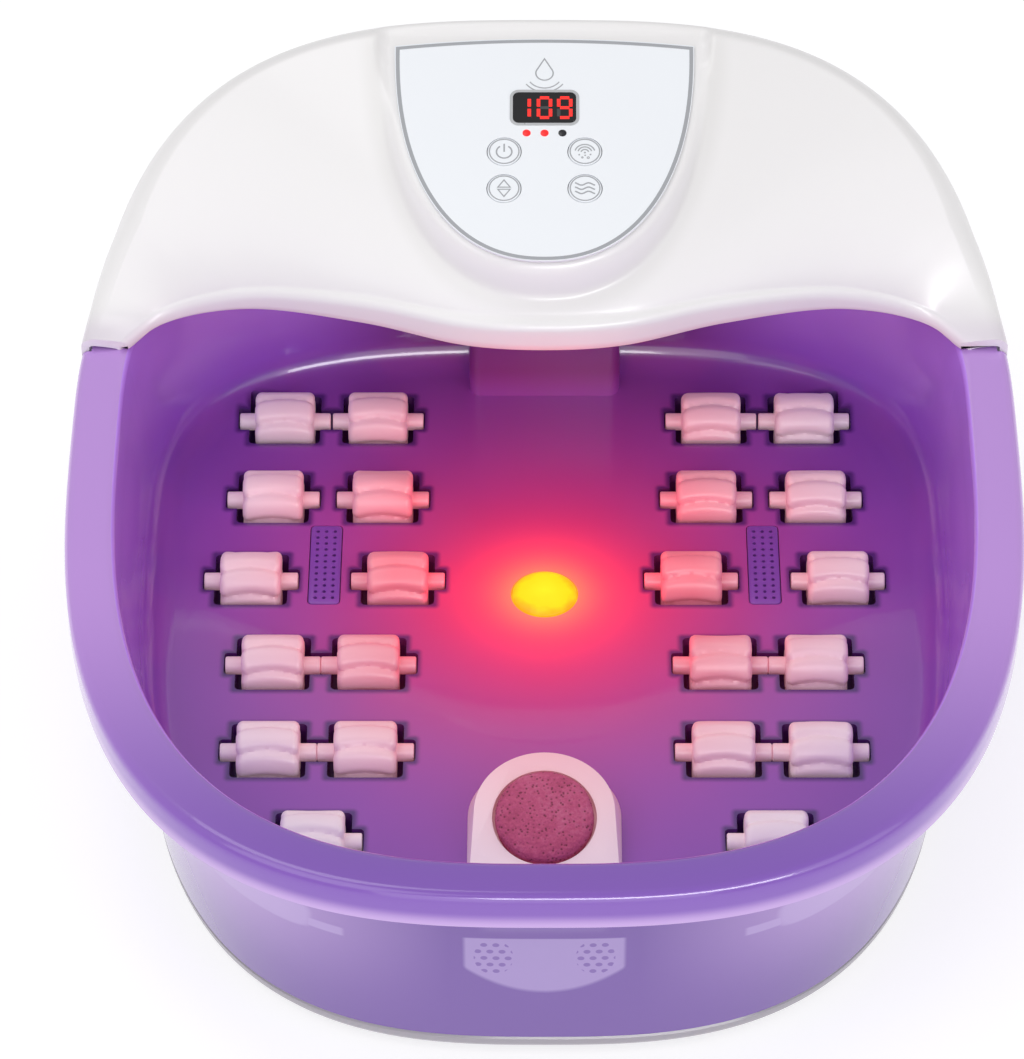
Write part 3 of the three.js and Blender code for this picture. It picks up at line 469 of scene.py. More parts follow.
# ------------------------------------------------------------------ finishes
def tub_finish():
    """Violet see-through plastic with painted light and shade: lighter at its edges and sides,
    darker low down and at the heel end, with the lamp's light in its floor.
    """
    material, graph, feed = finish(
        "violet_plastic",
        {
            "Roughness": 0.2,
            "IOR": 1.49,
            "Coat Weight": 0.6,
            "Coat Roughness": 0.04,
            "Emission Strength": 1.0
        },
    )
    where, x, y, z = graph.place()
    cloud = graph.noise(where, 9.0, 2.0)
    inside = within_walls(graph, x, y, z)
    # Painted light and shade on the outer wall: darker at the heel end, lighter at the sides, and
    # darker again at its foot.
    outside = graph.mix(((abs(x) - 0.035) / 0.10).clamped(), shade("tub_front"), shade("tub_side"))
    outside = graph.mix(1.0 - z.smooth(0.01, 0.085), outside, shade("tub_front"))
    # Painted light and shade on the rim: darker at the front, lighter at the sides.
    rim = graph.mix(y.smooth(-0.19, -0.03), shade("tub_rim_front"), shade("tub_rim"))
    outside = graph.mix(seen_through(graph, x, y, z) * 0.40, outside, (0.62, 0.50, 0.82))
    # Painted light: the foot of the rim's skirt is lighter.
    rim = graph.mix(1.0 - z.smooth(0.1035, 0.110), rim, shade("tub_side"))
    outside = graph.mix(z.smooth(0.0995, 0.1015), outside, rim)
    # Painted light and shade on the inner walls: darker low down, lighter up high.
    wall = graph.mix(z.smooth(0.050, 0.100), shade("tub_deep"), shade("tub_wall"))
    # Painted shade under the hood: the middle of the inner back wall is darkened.
    wall = graph.mix(
        y.smooth(0.12, 0.16) * (1.0 - abs(x).smooth(0.03, 0.11)), wall, shade("tub_hood_shade")
    )
    inner = graph.mix(1.0 - z.smooth(0.044, 0.060), wall, shade("tub_floor"))
    floor = 1.0 - z.smooth(0.047, 0.085)
    lit = graph.mix(glow(x, y, 0.092), inner, shade("tub_lit"))
    inner = graph.mix(floor, inner, lit)
    inner = graph.mix(cloud * 0.2, inner, shade("tub_deep"))
    # Painted shade: the pits and a soft band of floor round them are darkened, and the lamp's
    # painted glow is dimmed there.
    pit = 1.0 - z.smooth(0.0405, 0.0447)
    edges = pit_edge_shade(x, y) * (1.0 - z.smooth(0.0455, 0.050))
    inner = graph.mix((pit * 0.93).most(edges * 0.8), inner, shade("tub_pit_shade"))
    near = glow(x, y, 0.0185)
    ring = glow(x, y, 0.034)
    halo = glow(x, y, 0.080)
    light = graph.mix(
        near, graph.mix(ring, (0.50, 0.010, 0.05), (0.95, 0.04, 0.05)), (1.0, 0.62, 0.02)
    )
    feed(
        Base_Color=graph.mix(inside, outside, inner),
        Roughness=0.14 + cloud * 0.14,
        Emission_Color=graph.scaled(
            light, halo * floor * inside * (1.0 - pit.most(edges) * 0.8) * (0.34 + 0.26 * near)
        ),
        Normal=graph.bump(graph.noise(where, 60.0, 2.0), 0.00025, 0.25),
    )
    return material


def platform_shade(x, y):
    """Share of the painted shade, a soft grey, that lies on the flared wall round the label."""
    p = bpy.context.scene.spa_panel
    top = p.length + p.margin * p.lengthwise - p.arch
    below = (top - (y - p.y) / math.cos(p.tilt)).most(0.0)
    across = abs(x) / (p.half_width + p.margin)
    value = (
        across**p.curve + (below / (top + p.margin * p.lengthwise)) ** p.curve
    ) ** (1 / p.curve)
    away = (x * x + below * below).sqrt() * (1.0 - 1.0 / value.most(0.01))
    band = away.smooth(0.0005, 0.003) * (1.0 - away.smooth(0.004, 0.012))
    return band * (1.0 - ((y - p.y) / math.cos(p.tilt) - top).smooth(-0.004, 0.006))


def hood_finish():
    """White moulded plastic, with a little grey painted shade in the hollow round the key panel and
    a purplish painted shade low at its front.
    """
    material, graph, feed = finish(
        "hood_white", {"IOR": 1.5, "Coat Weight": 0.2, "Coat Roughness": 0.15}
    )
    where, x, y, z = graph.place()
    cloud = graph.noise(where, 14.0, 3.0)
    body = graph.mix(cloud * 0.10, shade("shell"), (0.80, 0.77, 0.79))
    # Painted shade on the flared wall round the label.
    body = graph.mix(platform_shade(x, y), body, shade("platform"))
    # Painted shade and reflection: the low front of the hood, its lip band and underside, is tinted
    # a purplish grey.
    under = (1.0 - z.smooth(0.118, 0.150)) * (1.0 - y.smooth(0.100, 0.115))
    feed(
        Base_Color=graph.mix(under * 0.5, body, (0.70, 0.60, 0.74)),
        Roughness=0.26 + cloud * 0.12,
        Normal=graph.bump(graph.noise(where, 420.0, 2.0), 0.00004, 0.2),
    )
    return material


def shell_finish(name, base, roughness=0.28, stain=(0.78, 0.74, 0.78)):
    """White moulded plastic with a faint unevenness."""
    material, graph, feed = finish(
        name, {"IOR": 1.5, "Coat Weight": 0.25, "Coat Roughness": 0.1, "Subsurface Weight": 0.0}
    )
    where = graph.place()[0]
    cloud = graph.noise(where, 14.0, 3.0)
    feed(
        Base_Color=graph.mix(cloud * 0.12, base, stain),
        Roughness=roughness - 0.06 + cloud * 0.12,
        Normal=graph.bump(graph.noise(where, 420.0, 2.0), 0.00004, 0.2),
    )
    return material


def lit_white_finish(name, base, strength=1.0):
    """White plastic in the tub, with the lamp's red light painted on it, a faint painted glow all
    over and a violet painted shade low down.
    """
    material, graph, feed = finish(name, {"IOR": 1.5, "Emission Strength": 0.25})
    where, x, y, z = graph.place()
    cloud = graph.noise(where, 40.0, 3.0)
    near = glow(x, y, 0.108)
    tint = graph.mix((near * 1.35 * strength).clamped(), base, (0.80, 0.20, 0.24))
    tint = graph.mix(cloud * 0.22, tint, (0.70, 0.50, 0.68))
    # Painted shade: low down, at the floor and in the pits, the white is tinted violet.
    low = 1.0 - z.smooth(0.034, 0.050)
    feed(
        Base_Color=graph.mix(low * 0.5, tint, (0.45, 0.30, 0.62)),
        Roughness=0.3 + cloud * 0.15,
        # Painted light: a faint glow all over, red near the lamp, for the light the white plastic
        # gets in the tub.
        Emission_Color=graph.mix(near, graph.scaled(tint, 0.5), (0.8, 0.10, 0.14)),
        Normal=graph.bump(graph.noise(where, 300.0, 2.0), 0.00006, 0.3),
    )
    return material


def plain_finish(name, base, roughness, metallic=0.0, grain=120.0, depth=0.00005, spread=0.25):
    """A moulded or milled surface with fine grain, for small pieces."""
    material, graph, feed = finish(name, {"Metallic": metallic})
    where = graph.place()[0]
    cloud = graph.noise(where, grain, 4.0)
    darker = tuple(0.72 * value for value in base)
    feed(
        Base_Color=graph.mix(cloud * spread, base, darker),
        Roughness=roughness - 0.05 + cloud * 0.14,
        Normal=graph.bump(cloud, depth, 0.5),
    )
    return material


def lamp_finish():
    """Clear red lens, lit from below: yellow at its middle."""
    material, graph, feed = finish(
        "lit_lens", {"Roughness": 0.3, "Emission Strength": 1.0, "Specular IOR Level": 0.2}
    )
    where, x, y, _ = graph.place()
    lamp_y = bpy.context.scene.spa_fittings.lamp_y
    far = (x * x + (y - lamp_y) * (y - lamp_y)).sqrt() / bpy.context.scene.spa_fittings.lamp_radius
    wobble = graph.noise(where, 120.0, 2.0) - 0.5
    light = graph.node(
        "ShaderNodeValToRGB",
        {"stops": [(0.0, (0.98, 0.86, 0.02)), (0.7, (0.95, 0.74, 0.01)), (1.0, (1.0, 0.42, 0.01))]},
        [far + wobble * 0.6],
    )
    feed(Base_Color=graph.scaled(light, 0.08), Emission_Color=light)
    return material


def pumice_finish():
    """Porous mauve-red stone, with painted shade in its pores and the lamp's red light painted on
    it.
    """
    material, graph, feed = finish("pumice", {"Roughness": 0.95, "Emission Strength": 0.2})
    where, x, y, _ = graph.place()
    cloud = graph.noise(where, 90.0, 5.0, 0.7)
    pores = graph.node(
        "ShaderNodeTexVoronoi", inputs={"Vector": where, "Scale": 620.0}, output="Distance"
    )
    grain = graph.noise(where, 900.0, 3.0, 0.7)
    body = graph.node(
        "ShaderNodeValToRGB",
        {"stops": [(0.25, (0.30, 0.04, 0.10)), (0.5, shade("stone")), (0.8, (0.62, 0.20, 0.32))]},
        [cloud * 0.6 + grain * 0.4],
    )
    feed(
        # Painted shade: the pores are darkened.
        Base_Color=graph.mix(1.0 - pores.smooth(0.05, 0.4), body, (0.12, 0.02, 0.04)),
        # Painted light: a faint red glow from the lamp, stronger nearer to it.
        Emission_Color=graph.scaled((0.6, 0.05, 0.1), glow(x, y, 0.11)),
        Normal=graph.bump(pores + grain * 0.5, 0.0006, 0.9),
    )
    return material


def lit_finish(name, colour_value, strength):
    """A lit segment or dot, a little uneven."""
    material, graph, feed = finish(name, {"Emission Strength": strength, "Roughness": 0.3})
    where = graph.place()[0]
    cloud = graph.noise(where, 700.0, 2.0)
    bright = graph.mix(cloud * 0.3, colour_value, tuple(0.7 * value for value in colour_value))
    feed(Base_Color=bright, Emission_Color=bright)
    return material


# ------------------------------------------------------------------ mesh helpers
def piece(name, vertices, faces):
    """A new object with its mesh in the row frame."""
    mesh = bpy.data.meshes.new(name)
    mesh.from_pydata([tuple(map(float, v)) for v in vertices], [], faces)
    mesh.validate()
    made = bpy.data.objects.new(name, mesh)
    bpy.context.collection.objects.link(made)
    return made


def outward(made):
    """Points the faces of a closed mesh outwards."""
    work = bmesh.new()
    work.from_mesh(made.data)
    bmesh.ops.remove_doubles(work, verts=work.verts, dist=1e-7)
    bmesh.ops.recalc_face_normals(work, faces=work.faces)
    work.to_mesh(made.data)
    work.free()
    return made


def settle(made):
    """Makes the result of an object's modifiers its own plain mesh."""
    graph = bpy.context.evaluated_depsgraph_get()
    mesh = bpy.data.meshes.new_from_object(made.evaluated_get(graph))
    made.modifiers.clear()
    made.data = mesh
    return made


def carve(body, tool, operation="DIFFERENCE", solver="MANIFOLD"):
    """Cuts a tool from a body, or joins it, and removes the tool."""
    change = body.modifiers.new("carve", "BOOLEAN")
    change.operation = operation
    change.solver = solver
    change.object = tool
    bpy.context.view_layer.update()
    settle(body)
    bpy.data.objects.remove(tool)
    if not len(body.data.polygons):
        raise RuntimeError(body.name + " is empty after a cut")
    return body


def eased(made, width, segments=2, angle=40):
    """Rounds the sharp edges of a mesh."""
    change = made.modifiers.new("eased", "BEVEL")
    change.width = width
    change.segments = segments
    change.limit_method = "ANGLE"
    change.angle_limit = math.radians(angle)
    change.harden_normals = False
    return settle(made)


def smooth(made, angle=35):
    """Smooth shading, with edges sharper than an angle kept."""
    made.data.polygons.foreach_set("use_smooth", [True] * len(made.data.polygons))
    made.data.set_sharp_from_angle(angle=math.radians(angle))
    return made


def hand_over(made, body, material, slot, *nodes):
    """Gives a finished piece its material, its body and the CAD nodes it stands for. The slot is
    not used.
    """
    if material:
        made.data.materials.clear()
        made.data.materials.append(material)
    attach(made, body)
    if nodes:
        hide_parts(*nodes)
    return made


def loft(name, rings, closed=False):
    """A skin through rings of equal length. The ends are capped, or the last ring meets the
    first."""
    count = len(rings[0])
    vertices = np.concatenate(rings)
    faces = []
    spans = len(rings) if closed else len(rings) - 1
    for r in range(spans):
        low, high = r * count, ((r + 1) % len(rings)) * count
        for i in range(count):
            j = (i + 1) % count
            faces.append((low + i, low + j, high + j, high + i))
    if not closed:
        faces.append(tuple(reversed(range(count))))
        faces.append(tuple(range((len(rings) - 1) * count, len(rings) * count)))
    return piece(name, vertices, faces)


def rounded_box(low, high, radius, steps=4):
    """Outline of a rounded rectangle in the XY plane, as an array."""
    points = []
    for corner, (sx, sy) in enumerate([(1, 1), (-1, 1), (-1, -1), (1, -1)]):
        cx = (high[0] - radius) if sx > 0 else (low[0] + radius)
        cy = (high[1] - radius) if sy > 0 else (low[1] + radius)
        for i in range(steps + 1):
            turn = math.pi / 2 * (corner + i / steps)
            points.append((cx + radius * math.cos(turn), cy + radius * math.sin(turn)))
    return np.array(points)


def prisms(name, outlines, low, high):
    """Upright prisms over flat outlines, all in one mesh."""
    vertices, faces = [], []
    for outline in outlines:
        start, count = len(vertices), len(outline)
        for z in (low, high):
            vertices.extend((x, y, z) for x, y in outline)
        for i in range(count):
            j = (i + 1) % count
            faces.append((start + i, start + j, start + count + j, start + count + i))
        faces.append(tuple(start + i for i in reversed(range(count))))
        faces.append(tuple(start + count + i for i in range(count)))
    return piece(name, vertices, faces)


def circle(x, y, radius, steps=32):
    turn = np.linspace(0, 2 * math.pi, steps, endpoint=False)
    return np.stack([x + radius * np.cos(turn), y + radius * np.sin(turn)], axis=1)


# ------------------------------------------------------------------ Geometry Nodes
SOCKETS = {
    "float": "NodeSocketFloat",
    "int": "NodeSocketInt",
    "vector": "NodeSocketVector",
    "material": "NodeSocketMaterial",
}


def recipe(name, inputs):
    """A new Geometry Nodes tree: the tree, its graph and a Term for each named input."""
    tree = bpy.data.node_groups.new(name, "GeometryNodeTree")
    tree.interface.new_socket("Geometry", in_out="OUTPUT", socket_type="NodeSocketGeometry")
    for title, kind in inputs.items():
        tree.interface.new_socket(title, in_out="INPUT", socket_type=SOCKETS[kind])
    entry = tree.nodes.new("NodeGroupInput")
    graph = Graph(tree)
    return tree, graph, {title: Term(graph, entry.outputs[title]) for title in inputs}


def end_recipe(graph, geometry, material):
    """Ends a tree: instances made real, and the material set."""
    real = graph.node("GeometryNodeRealizeInstances", inputs=[geometry])
    painted = graph.node("GeometryNodeSetMaterial", inputs={"Geometry": real, "Material": material})
    graph.feed(graph.tree.nodes.new("NodeGroupOutput").inputs[0], painted)


def grown(name, tree, values):
    """A plain mesh made by a tree with the given inputs."""
    made = piece(name, [], [])
    change = made.modifiers.new("shape", "NODES")
    change.node_group = tree
    for item in tree.interface.items_tree:
        if item.in_out == "INPUT":
            change[item.identifier] = values[item.name]
    made.update_tag()
    bpy.context.view_layer.update()
    return settle(made)


def roller_recipe():
    """One roller: a drum with rounded ribs between two stub shafts, turned from a grid."""
    tree, graph, size = recipe(
        "roller_shape",
        {
            "Drum radius": "float",
            "Drum length": "float",
            "Stub radius": "float",
            "Length": "float",
            "Ribs": "int",
            "Valley": "float",
            "Turn": "float",
            "Place": "vector",
            "Material": "material",
        },
    )
    grid = graph.node(
        "GeometryNodeMeshGrid", inputs={
            "Size X": 1.0, "Size Y": 1.0, "Vertices X": 101, "Vertices Y": 67
        }
    )
    flat = graph.node("ShaderNodeSeparateXYZ", inputs=[graph.node("GeometryNodeInputPosition")])
    u, v = (Term(graph, flat.socket.node.outputs[i]) for i in range(2))
    s = abs(u) * 2.0
    edge, lip, quarter = 2.4 * MM, 0.6 * MM, math.pi / 2
    half = size["Drum length"] * 0.5
    rounding = ((s - 0.60) / 0.14).clamped() * quarter
    end_face = ((s - 0.74) / 0.06).clamped()
    stub_run = ((s - 0.80) / 0.14).clamped()
    stub_round = ((s - 0.94) / 0.04).clamped() * quarter
    cap = ((s - 0.98) / 0.02).clamped()
    x = (half - edge) * (s / 0.60).clamped() + edge * rounding.sin()
    x = x + (size["Length"] * 0.5 - lip - half) * stub_run + lip * stub_round.sin()
    radius = size["Drum radius"] - edge * (1.0 - rounding.cos())
    radius = radius - (size["Drum radius"] - edge - size["Stub radius"]) * end_face
    radius = radius - lip * (1.0 - stub_round.cos()) - (size["Stub radius"] - lip) * cap
    turn = v * (2 * math.pi)
    share = (x / half).least(1.0)
    phase = v * size["Ribs"] + 0.5 + 0.20 * (1.0 - share * share)
    part = graph.node("ShaderNodeMath", {"operation": "FRACT"}, [phase])
    away = part.least(1.0 - part) * 2.0
    groove = (-(away * away) / 0.075).exp() * (1.0 - end_face)
    x = x * (1.0 - 0.07 * groove)
    radius = radius - size["Valley"] * groove
    side = graph.node("ShaderNodeMath", {"operation": "SIGN"}, [u])
    point = graph.node(
        "ShaderNodeCombineXYZ",
        inputs=[
            x * side, radius * (turn + size["Turn"]).cos(), radius * (turn + size["Turn"]).sin()
        ],
    )
    shaped = graph.node("GeometryNodeSetPosition", inputs={"Geometry": grid, "Position": point})
    whole = graph.node("GeometryNodeMergeByDistance", inputs={"Geometry": shaped, "Distance": 1e-6})
    put = graph.node(
        "GeometryNodeTransform", inputs={"Geometry": whole, "Translation": size["Place"]}
    )
    end_recipe(graph, put, size["Material"])
    return tree


def perforation_recipe():
    """Round pegs in staggered rows, to cut perforations with."""
    tree, graph, size = recipe(
        "perforations",
        {
            "Columns": "int",
            "Rows": "int",
            "Pitch": "float",
            "Row pitch": "float",
            "Stagger": "float",
            "Radius": "float",
            "Depth": "float",
            "Material": "material",
        },
    )
    grid = graph.node(
        "GeometryNodeMeshGrid",
        inputs={
            "Size X": (size["Columns"] - 1.0) * size["Pitch"],
            "Size Y": (size["Rows"] - 1.0) * size["Row pitch"],
            "Vertices X": size["Columns"],
            "Vertices Y": size["Rows"],
        },
    )
    flat = graph.node("ShaderNodeSeparateXYZ", inputs=[graph.node("GeometryNodeInputPosition")])
    row = Term(graph, flat.socket.node.outputs[1]) / size["Row pitch"]
    odd = graph.node(
        "ShaderNodeMath", {"operation": "PINGPONG"}, [row + 0.5 * (size["Rows"] - 1.0), 1.0]
    )
    shift = graph.node("ShaderNodeCombineXYZ", inputs=[odd * size["Stagger"], 0.0, 0.0])
    points = graph.node("GeometryNodeSetPosition", inputs={"Geometry": grid, "Offset": shift})
    peg = graph.node(
        "GeometryNodeMeshCylinder", inputs={
            "Vertices": 14, "Radius": size["Radius"], "Depth": size["Depth"]
        }
    )
    pegs = graph.node("GeometryNodeInstanceOnPoints", inputs={"Points": points, "Instance": peg})
    end_recipe(graph, pegs, size["Material"])
    return tree


def stone_recipe():
    """A worn round stone: a ball pressed flat and roughened by noise."""
    tree, graph, size = recipe(
        "worn_stone",
        {"Radius": "float", "Thickness": "float", "Roughness": "float", "Material": "material"},
    )
    ball = graph.node(
        "GeometryNodeMeshUVSphere", inputs={"Segments": 160, "Rings": 100, "Radius": 1.0}
    )
    where = graph.node("GeometryNodeInputPosition")
    flat = graph.node("ShaderNodeSeparateXYZ", inputs=[where])
    x, y, z = (Term(graph, flat.socket.node.outputs[i]) for i in range(3))
    around = (x * x + y * y).sqrt()
    reach = 1.0 / ((around**5.0 + abs(z) ** 5.0) ** 0.2)
    coarse = graph.node(
        "ShaderNodeTexNoise", inputs={"Vector": where, "Scale": 2.2, "Detail": 3.0}, output=0
    )
    fine = graph.node(
        "ShaderNodeTexNoise", inputs={
            "Vector": where, "Scale": 11.0, "Detail": 5.0, "Roughness": 0.7
        }, output=0
    )
    pits = graph.node("ShaderNodeTexVoronoi", inputs={"Vector": where, "Scale": 13.0}, output=0)
    worn = 1.0 - 0.02 - (coarse - 0.5) * 0.05 - size["Roughness"] * (
        (fine - 0.5) + 0.5 * (0.3 - pits).most(0.0)
    )
    across = size["Radius"] * reach * worn.least(1.0)
    deep = size["Thickness"] * 0.5 * reach * (worn * 1.0 + (coarse - 0.5) * 0.1).least(1.0)
    point = graph.node("ShaderNodeCombineXYZ", inputs=[x * across, y * across, z * deep])
    shaped = graph.node("GeometryNodeSetPosition", inputs={"Geometry": ball, "Position": point})
    end_recipe(graph, shaped, size["Material"])
    return tree


# ------------------------------------------------------------------ the tub's rule
class Plan:
    """The tub's outline: two half superellipses that meet at the widest line."""

    def __init__(self, sizes, columns, step_at=None):
        self.sizes = sizes
        fine = np.linspace(-math.pi / 2, 1.5 * math.pi, 7201)
        path = self.at(fine, 0.0)
        far = np.concatenate([[0], np.cumsum(np.linalg.norm(np.diff(path, axis=0), axis=1))])
        turns = np.interp(np.linspace(0, far[-1], columns, endpoint=False), far, fine)
        if step_at is not None:
            turns = self._with_step(turns, fine, path, step_at)
        self.turns = turns

    def _with_step(self, turns, fine, path, y):
        """Moves columns so that a pair of them stands on either side of a line across the tub."""
        turns = turns.copy()
        crossings = np.where(np.diff(np.sign(path[:, 1] - y)))[0]
        for index in crossings:
            nearest = int(np.argmin(abs(turns - fine[index])))
            rising = path[index + 1, 1] > path[index, 1]
            first, second = (y - 1e-5, y + 1e-5) if rising else (y + 1e-5, y - 1e-5)
            window = slice(index - 40, index + 41)
            order = np.argsort(path[window, 1])
            places = np.interp([first, second], path[window, 1][order], fine[window][order])
            turns[nearest], turns[nearest + 1] = places
        return turns

    def at(self, turns, inset):
        side, front, back = inset if isinstance(inset, tuple) else (inset, inset, inset)
        s = self.sizes
        c, v = np.cos(turns), np.sin(turns)
        ahead = v < 0
        across = np.where(ahead, s.front_across, s.back_across)
        along = np.where(ahead, s.front_along, s.back_along)
        reach = np.where(ahead, s.widest + s.front - front, s.back - back - s.widest)
        x = np.sign(c) * (s.half_width - side) * np.abs(c) ** (2 / across)
        y = np.sign(v) * reach * np.abs(v) ** (2 / along) + s.widest
        return np.stack([x, y], axis=1)

    def ring(self, inset, z):
        flat = self.at(self.turns, inset)
        return np.column_stack([flat, np.full(len(flat), z)])

    def wall_inset(self, z, deeper=0.0):
        s = self.sizes
        share = (s.rim_top - z) / (s.rim_top - s.wall_foot)
        top = s.rim_width - s.wall
        return (
            top + s.lean_side * share + deeper,
            top + s.lean_front * share + deeper,
            top + s.lean_back * share + deeper,
        )


def deeper(inset, amount):
    return tuple(value + amount for value in inset)


def roller_places(sizes):
    """Name, X and Y of every roller, and the rows with their spreads."""
    spreads = [19, 22, 29, 18.6, 18.6, 0]
    rows = [(sizes.first_row - sizes.pitch * i, spread * MM) for i, spread in enumerate(spreads)]
    rollers = []
    for side, sign in (("left", -1), ("right", 1)):
        for row, (y, spread) in enumerate(rows, 1):
            ends = (("outer", spread), ("inner", -spread)) if spread else (("middle", 0.0),)
            rollers.extend(
                (
                    f"roller_{side}_{row}_{end}", sign * (sizes.foot_x + offset), y
                ) for end, offset in ends
            )
    return rollers, rows


# ------------------------------------------------------------------ the hood's rule
def along(path, shares):
    """Points at even shares of a path's length."""
    far = np.concatenate([[0], np.cumsum(np.linalg.norm(np.diff(path, axis=0), axis=1))])
    wanted = np.asarray(shares) * far[-1]
    return np.stack([np.interp(wanted, far, path[:, i]) for i in range(path.shape[1])], axis=1)


def curve_through(points, steps=60):
    """Centripetal Catmull-Rom curve through points."""
    points = np.asarray(points, float)
    path = np.vstack([2 * points[0] - points[1], points, 2 * points[-1] - points[-2]])
    made = []
    for i in range(1, len(path) - 2):
        a, b, c, d = path[i - 1 : i + 3]
        t0 = 0.0
        t1 = t0 + math.sqrt(np.linalg.norm(b - a))
        t2 = t1 + math.sqrt(np.linalg.norm(c - b))
        t3 = t2 + math.sqrt(np.linalg.norm(d - c))
        t = np.linspace(t1, t2, steps, endpoint=i == len(path) - 3)[:, None]
        ab = (t1 - t) / (t1 - t0) * a + (t - t0) / (t1 - t0) * b
        bc = (t2 - t) / (t2 - t1) * b + (t - t1) / (t2 - t1) * c
        cd = (t3 - t) / (t3 - t2) * c + (t - t2) / (t3 - t2) * d
        abc = (t2 - t) / (t2 - t0) * ab + (t - t0) / (t2 - t0) * bc
        bcd = (t3 - t) / (t3 - t1) * bc + (t - t1) / (t3 - t1) * cd
        made.append((t2 - t) / (t2 - t1) * abc + (t - t1) / (t2 - t1) * bcd)
    return np.concatenate(made)


class Hood:
    """The hood's skin: sections that run back from its lip to the rim's outline."""

    LIP = [
        (164, 97, 122),
        (150, 108, 127),
        (118, 105, 140),
        (70, 87, 151),
        (30, 71, 154.5),
        (0, 68, 155)
    ]

    def __init__(self, scene, shares):
        self.tub, self.sizes, self.panel = scene.spa_tub, scene.spa_hood, scene.spa_panel
        half = np.array(self.LIP, float) * MM
        mirrored = half * (-1, 1, 1)
        self.shares = np.asarray(shares)
        self.lip = along(curve_through(np.vstack([mirrored, half[-2::-1]])), self.shares)
        self.rim = along(self._rim_path(), self.shares)
        across = self.rim - self.lip[:, :2]
        self.length = np.linalg.norm(across, axis=1)
        self.across = across / self.length[:, None]
        rise = lambda y: (
            np.hypot(y - self.sizes.ridge_start, 9 * MM) + y - self.sizes.ridge_start
        ) / 2
        self.low = half[0][2]
        self.ridge = self.low + (
            self.sizes.ridge_top - self.low
        ) * rise(self.rim[:, 1]) / rise(self.tub.back)
        self.band = self.tub.wall + (self.sizes.lip_height - self.tub.wall) * np.sin(
            math.pi * np.clip(self.shares, 0, 1)
        ) ** 0.8

    def _rim_path(self):
        plan = Plan(self.tub, 8)
        turns = np.linspace(0, math.pi, 6001)
        path = plan.at(turns, 0.0)
        path = path[path[:, 1] > self.sizes.start]
        right = path[path[:, 0] >= 0]
        left = right[::-1] * (-1, 1)
        whole = np.vstack([left[::-1], right[::-1]])
        whole[0, 1] = whole[-1, 1] = self.sizes.start
        return whole

    def section(self, i, inset, places):
        """Heights of one section at distances from the lip, before the platform is added."""
        s = self.sizes
        lip, ridge, far = self.lip[i], self.ridge[i], self.length[i]
        shoulder = min(s.shoulder_across, far * 0.3)
        down = min(s.shoulder_down, 3 * MM + (ridge - self.low) * 0.5)
        edge = min(s.lip_round, far * 0.2) - inset * 0.3
        start, end, flat = inset, far - inset, far - shoulder
        d = np.clip(places, start, end)
        top = lip[2] - inset
        part = np.clip((d - start - edge) / (flat - start - edge), 0, 1)
        z = lip[2] + (ridge - lip[2]) * part**s.rise - inset
        round_part = np.clip(1 - (d - start) / edge, 0, 1)
        z = np.where(
            d < start + edge, top - edge * (1 - np.sqrt(np.clip(1 - round_part**2, 0, 1))), z
        )
        back = np.clip((d - flat) / (end - flat), 0, 1)
        z_back = ridge - inset - (down - inset) * (1 - np.sqrt(np.clip(1 - back**2, 0, 1)))
        return np.where(d > flat, z_back, z)

    def platform(self, x, y, z):
        """Heights with the panel's platform added: a flat top and walls that widen downwards."""
        p = self.panel
        tangent = math.tan(p.tilt)
        plane = p.z + (y - p.y) * tangent
        along_panel = (y - p.y) / math.cos(p.tilt)
        half = p.half_width + p.margin
        top = p.length + p.margin * p.lengthwise - p.arch
        reach = top + p.margin * p.lengthwise
        dx, dy = np.abs(x), along_panel - top
        below = np.maximum(-dy, 0)
        rho = ((dx / half) ** p.curve + (below / reach) ** p.curve) ** (1 / p.curve)
        away = np.hypot(dx, below)
        outside = np.where(rho > 1e-6, away * (1 - 1 / np.maximum(rho, 1e-6)), -half)
        share = np.where(away > 1e-9, dx / np.maximum(away, 1e-9), 1.0)
        flare = p.flare * share**2 + p.flare * p.lengthwise * (1 - share**2)
        step = 1.6 * MM
        slope = p.drop / flare
        fall = slope * (np.sqrt(np.maximum(outside, -4 * step) ** 2 + step**2) + outside) / 2
        wall = plane - np.where(outside > -4 * step, fall, 0)
        over = np.clip((dy - p.arch - 1.5 * MM) / (7 * MM), 0, 1)
        over = over * over * (3 - 2 * over)
        blend = np.clip(outside / (4 * MM), 0, 1)
        blend = blend * blend * (3 - 2 * blend)
        base = np.where(z > plane, plane + (z - plane) * blend, z)
        soft = 2.2 * MM
        high = (base + wall + np.sqrt((base - wall) ** 2 + soft**2)) / 2
        lifted = np.where(outside < 0, np.maximum(wall, np.minimum(high, plane)), high)
        lifted = np.where(
            high - base < 0.3 * MM, np.maximum(base, np.minimum(high, base + 0.3 * MM)), lifted
        )
        result = lifted + (z - lifted) * over
        near = (rho < 1.7) & (dy < p.arch + 12 * MM)
        return np.where(near, result, z)


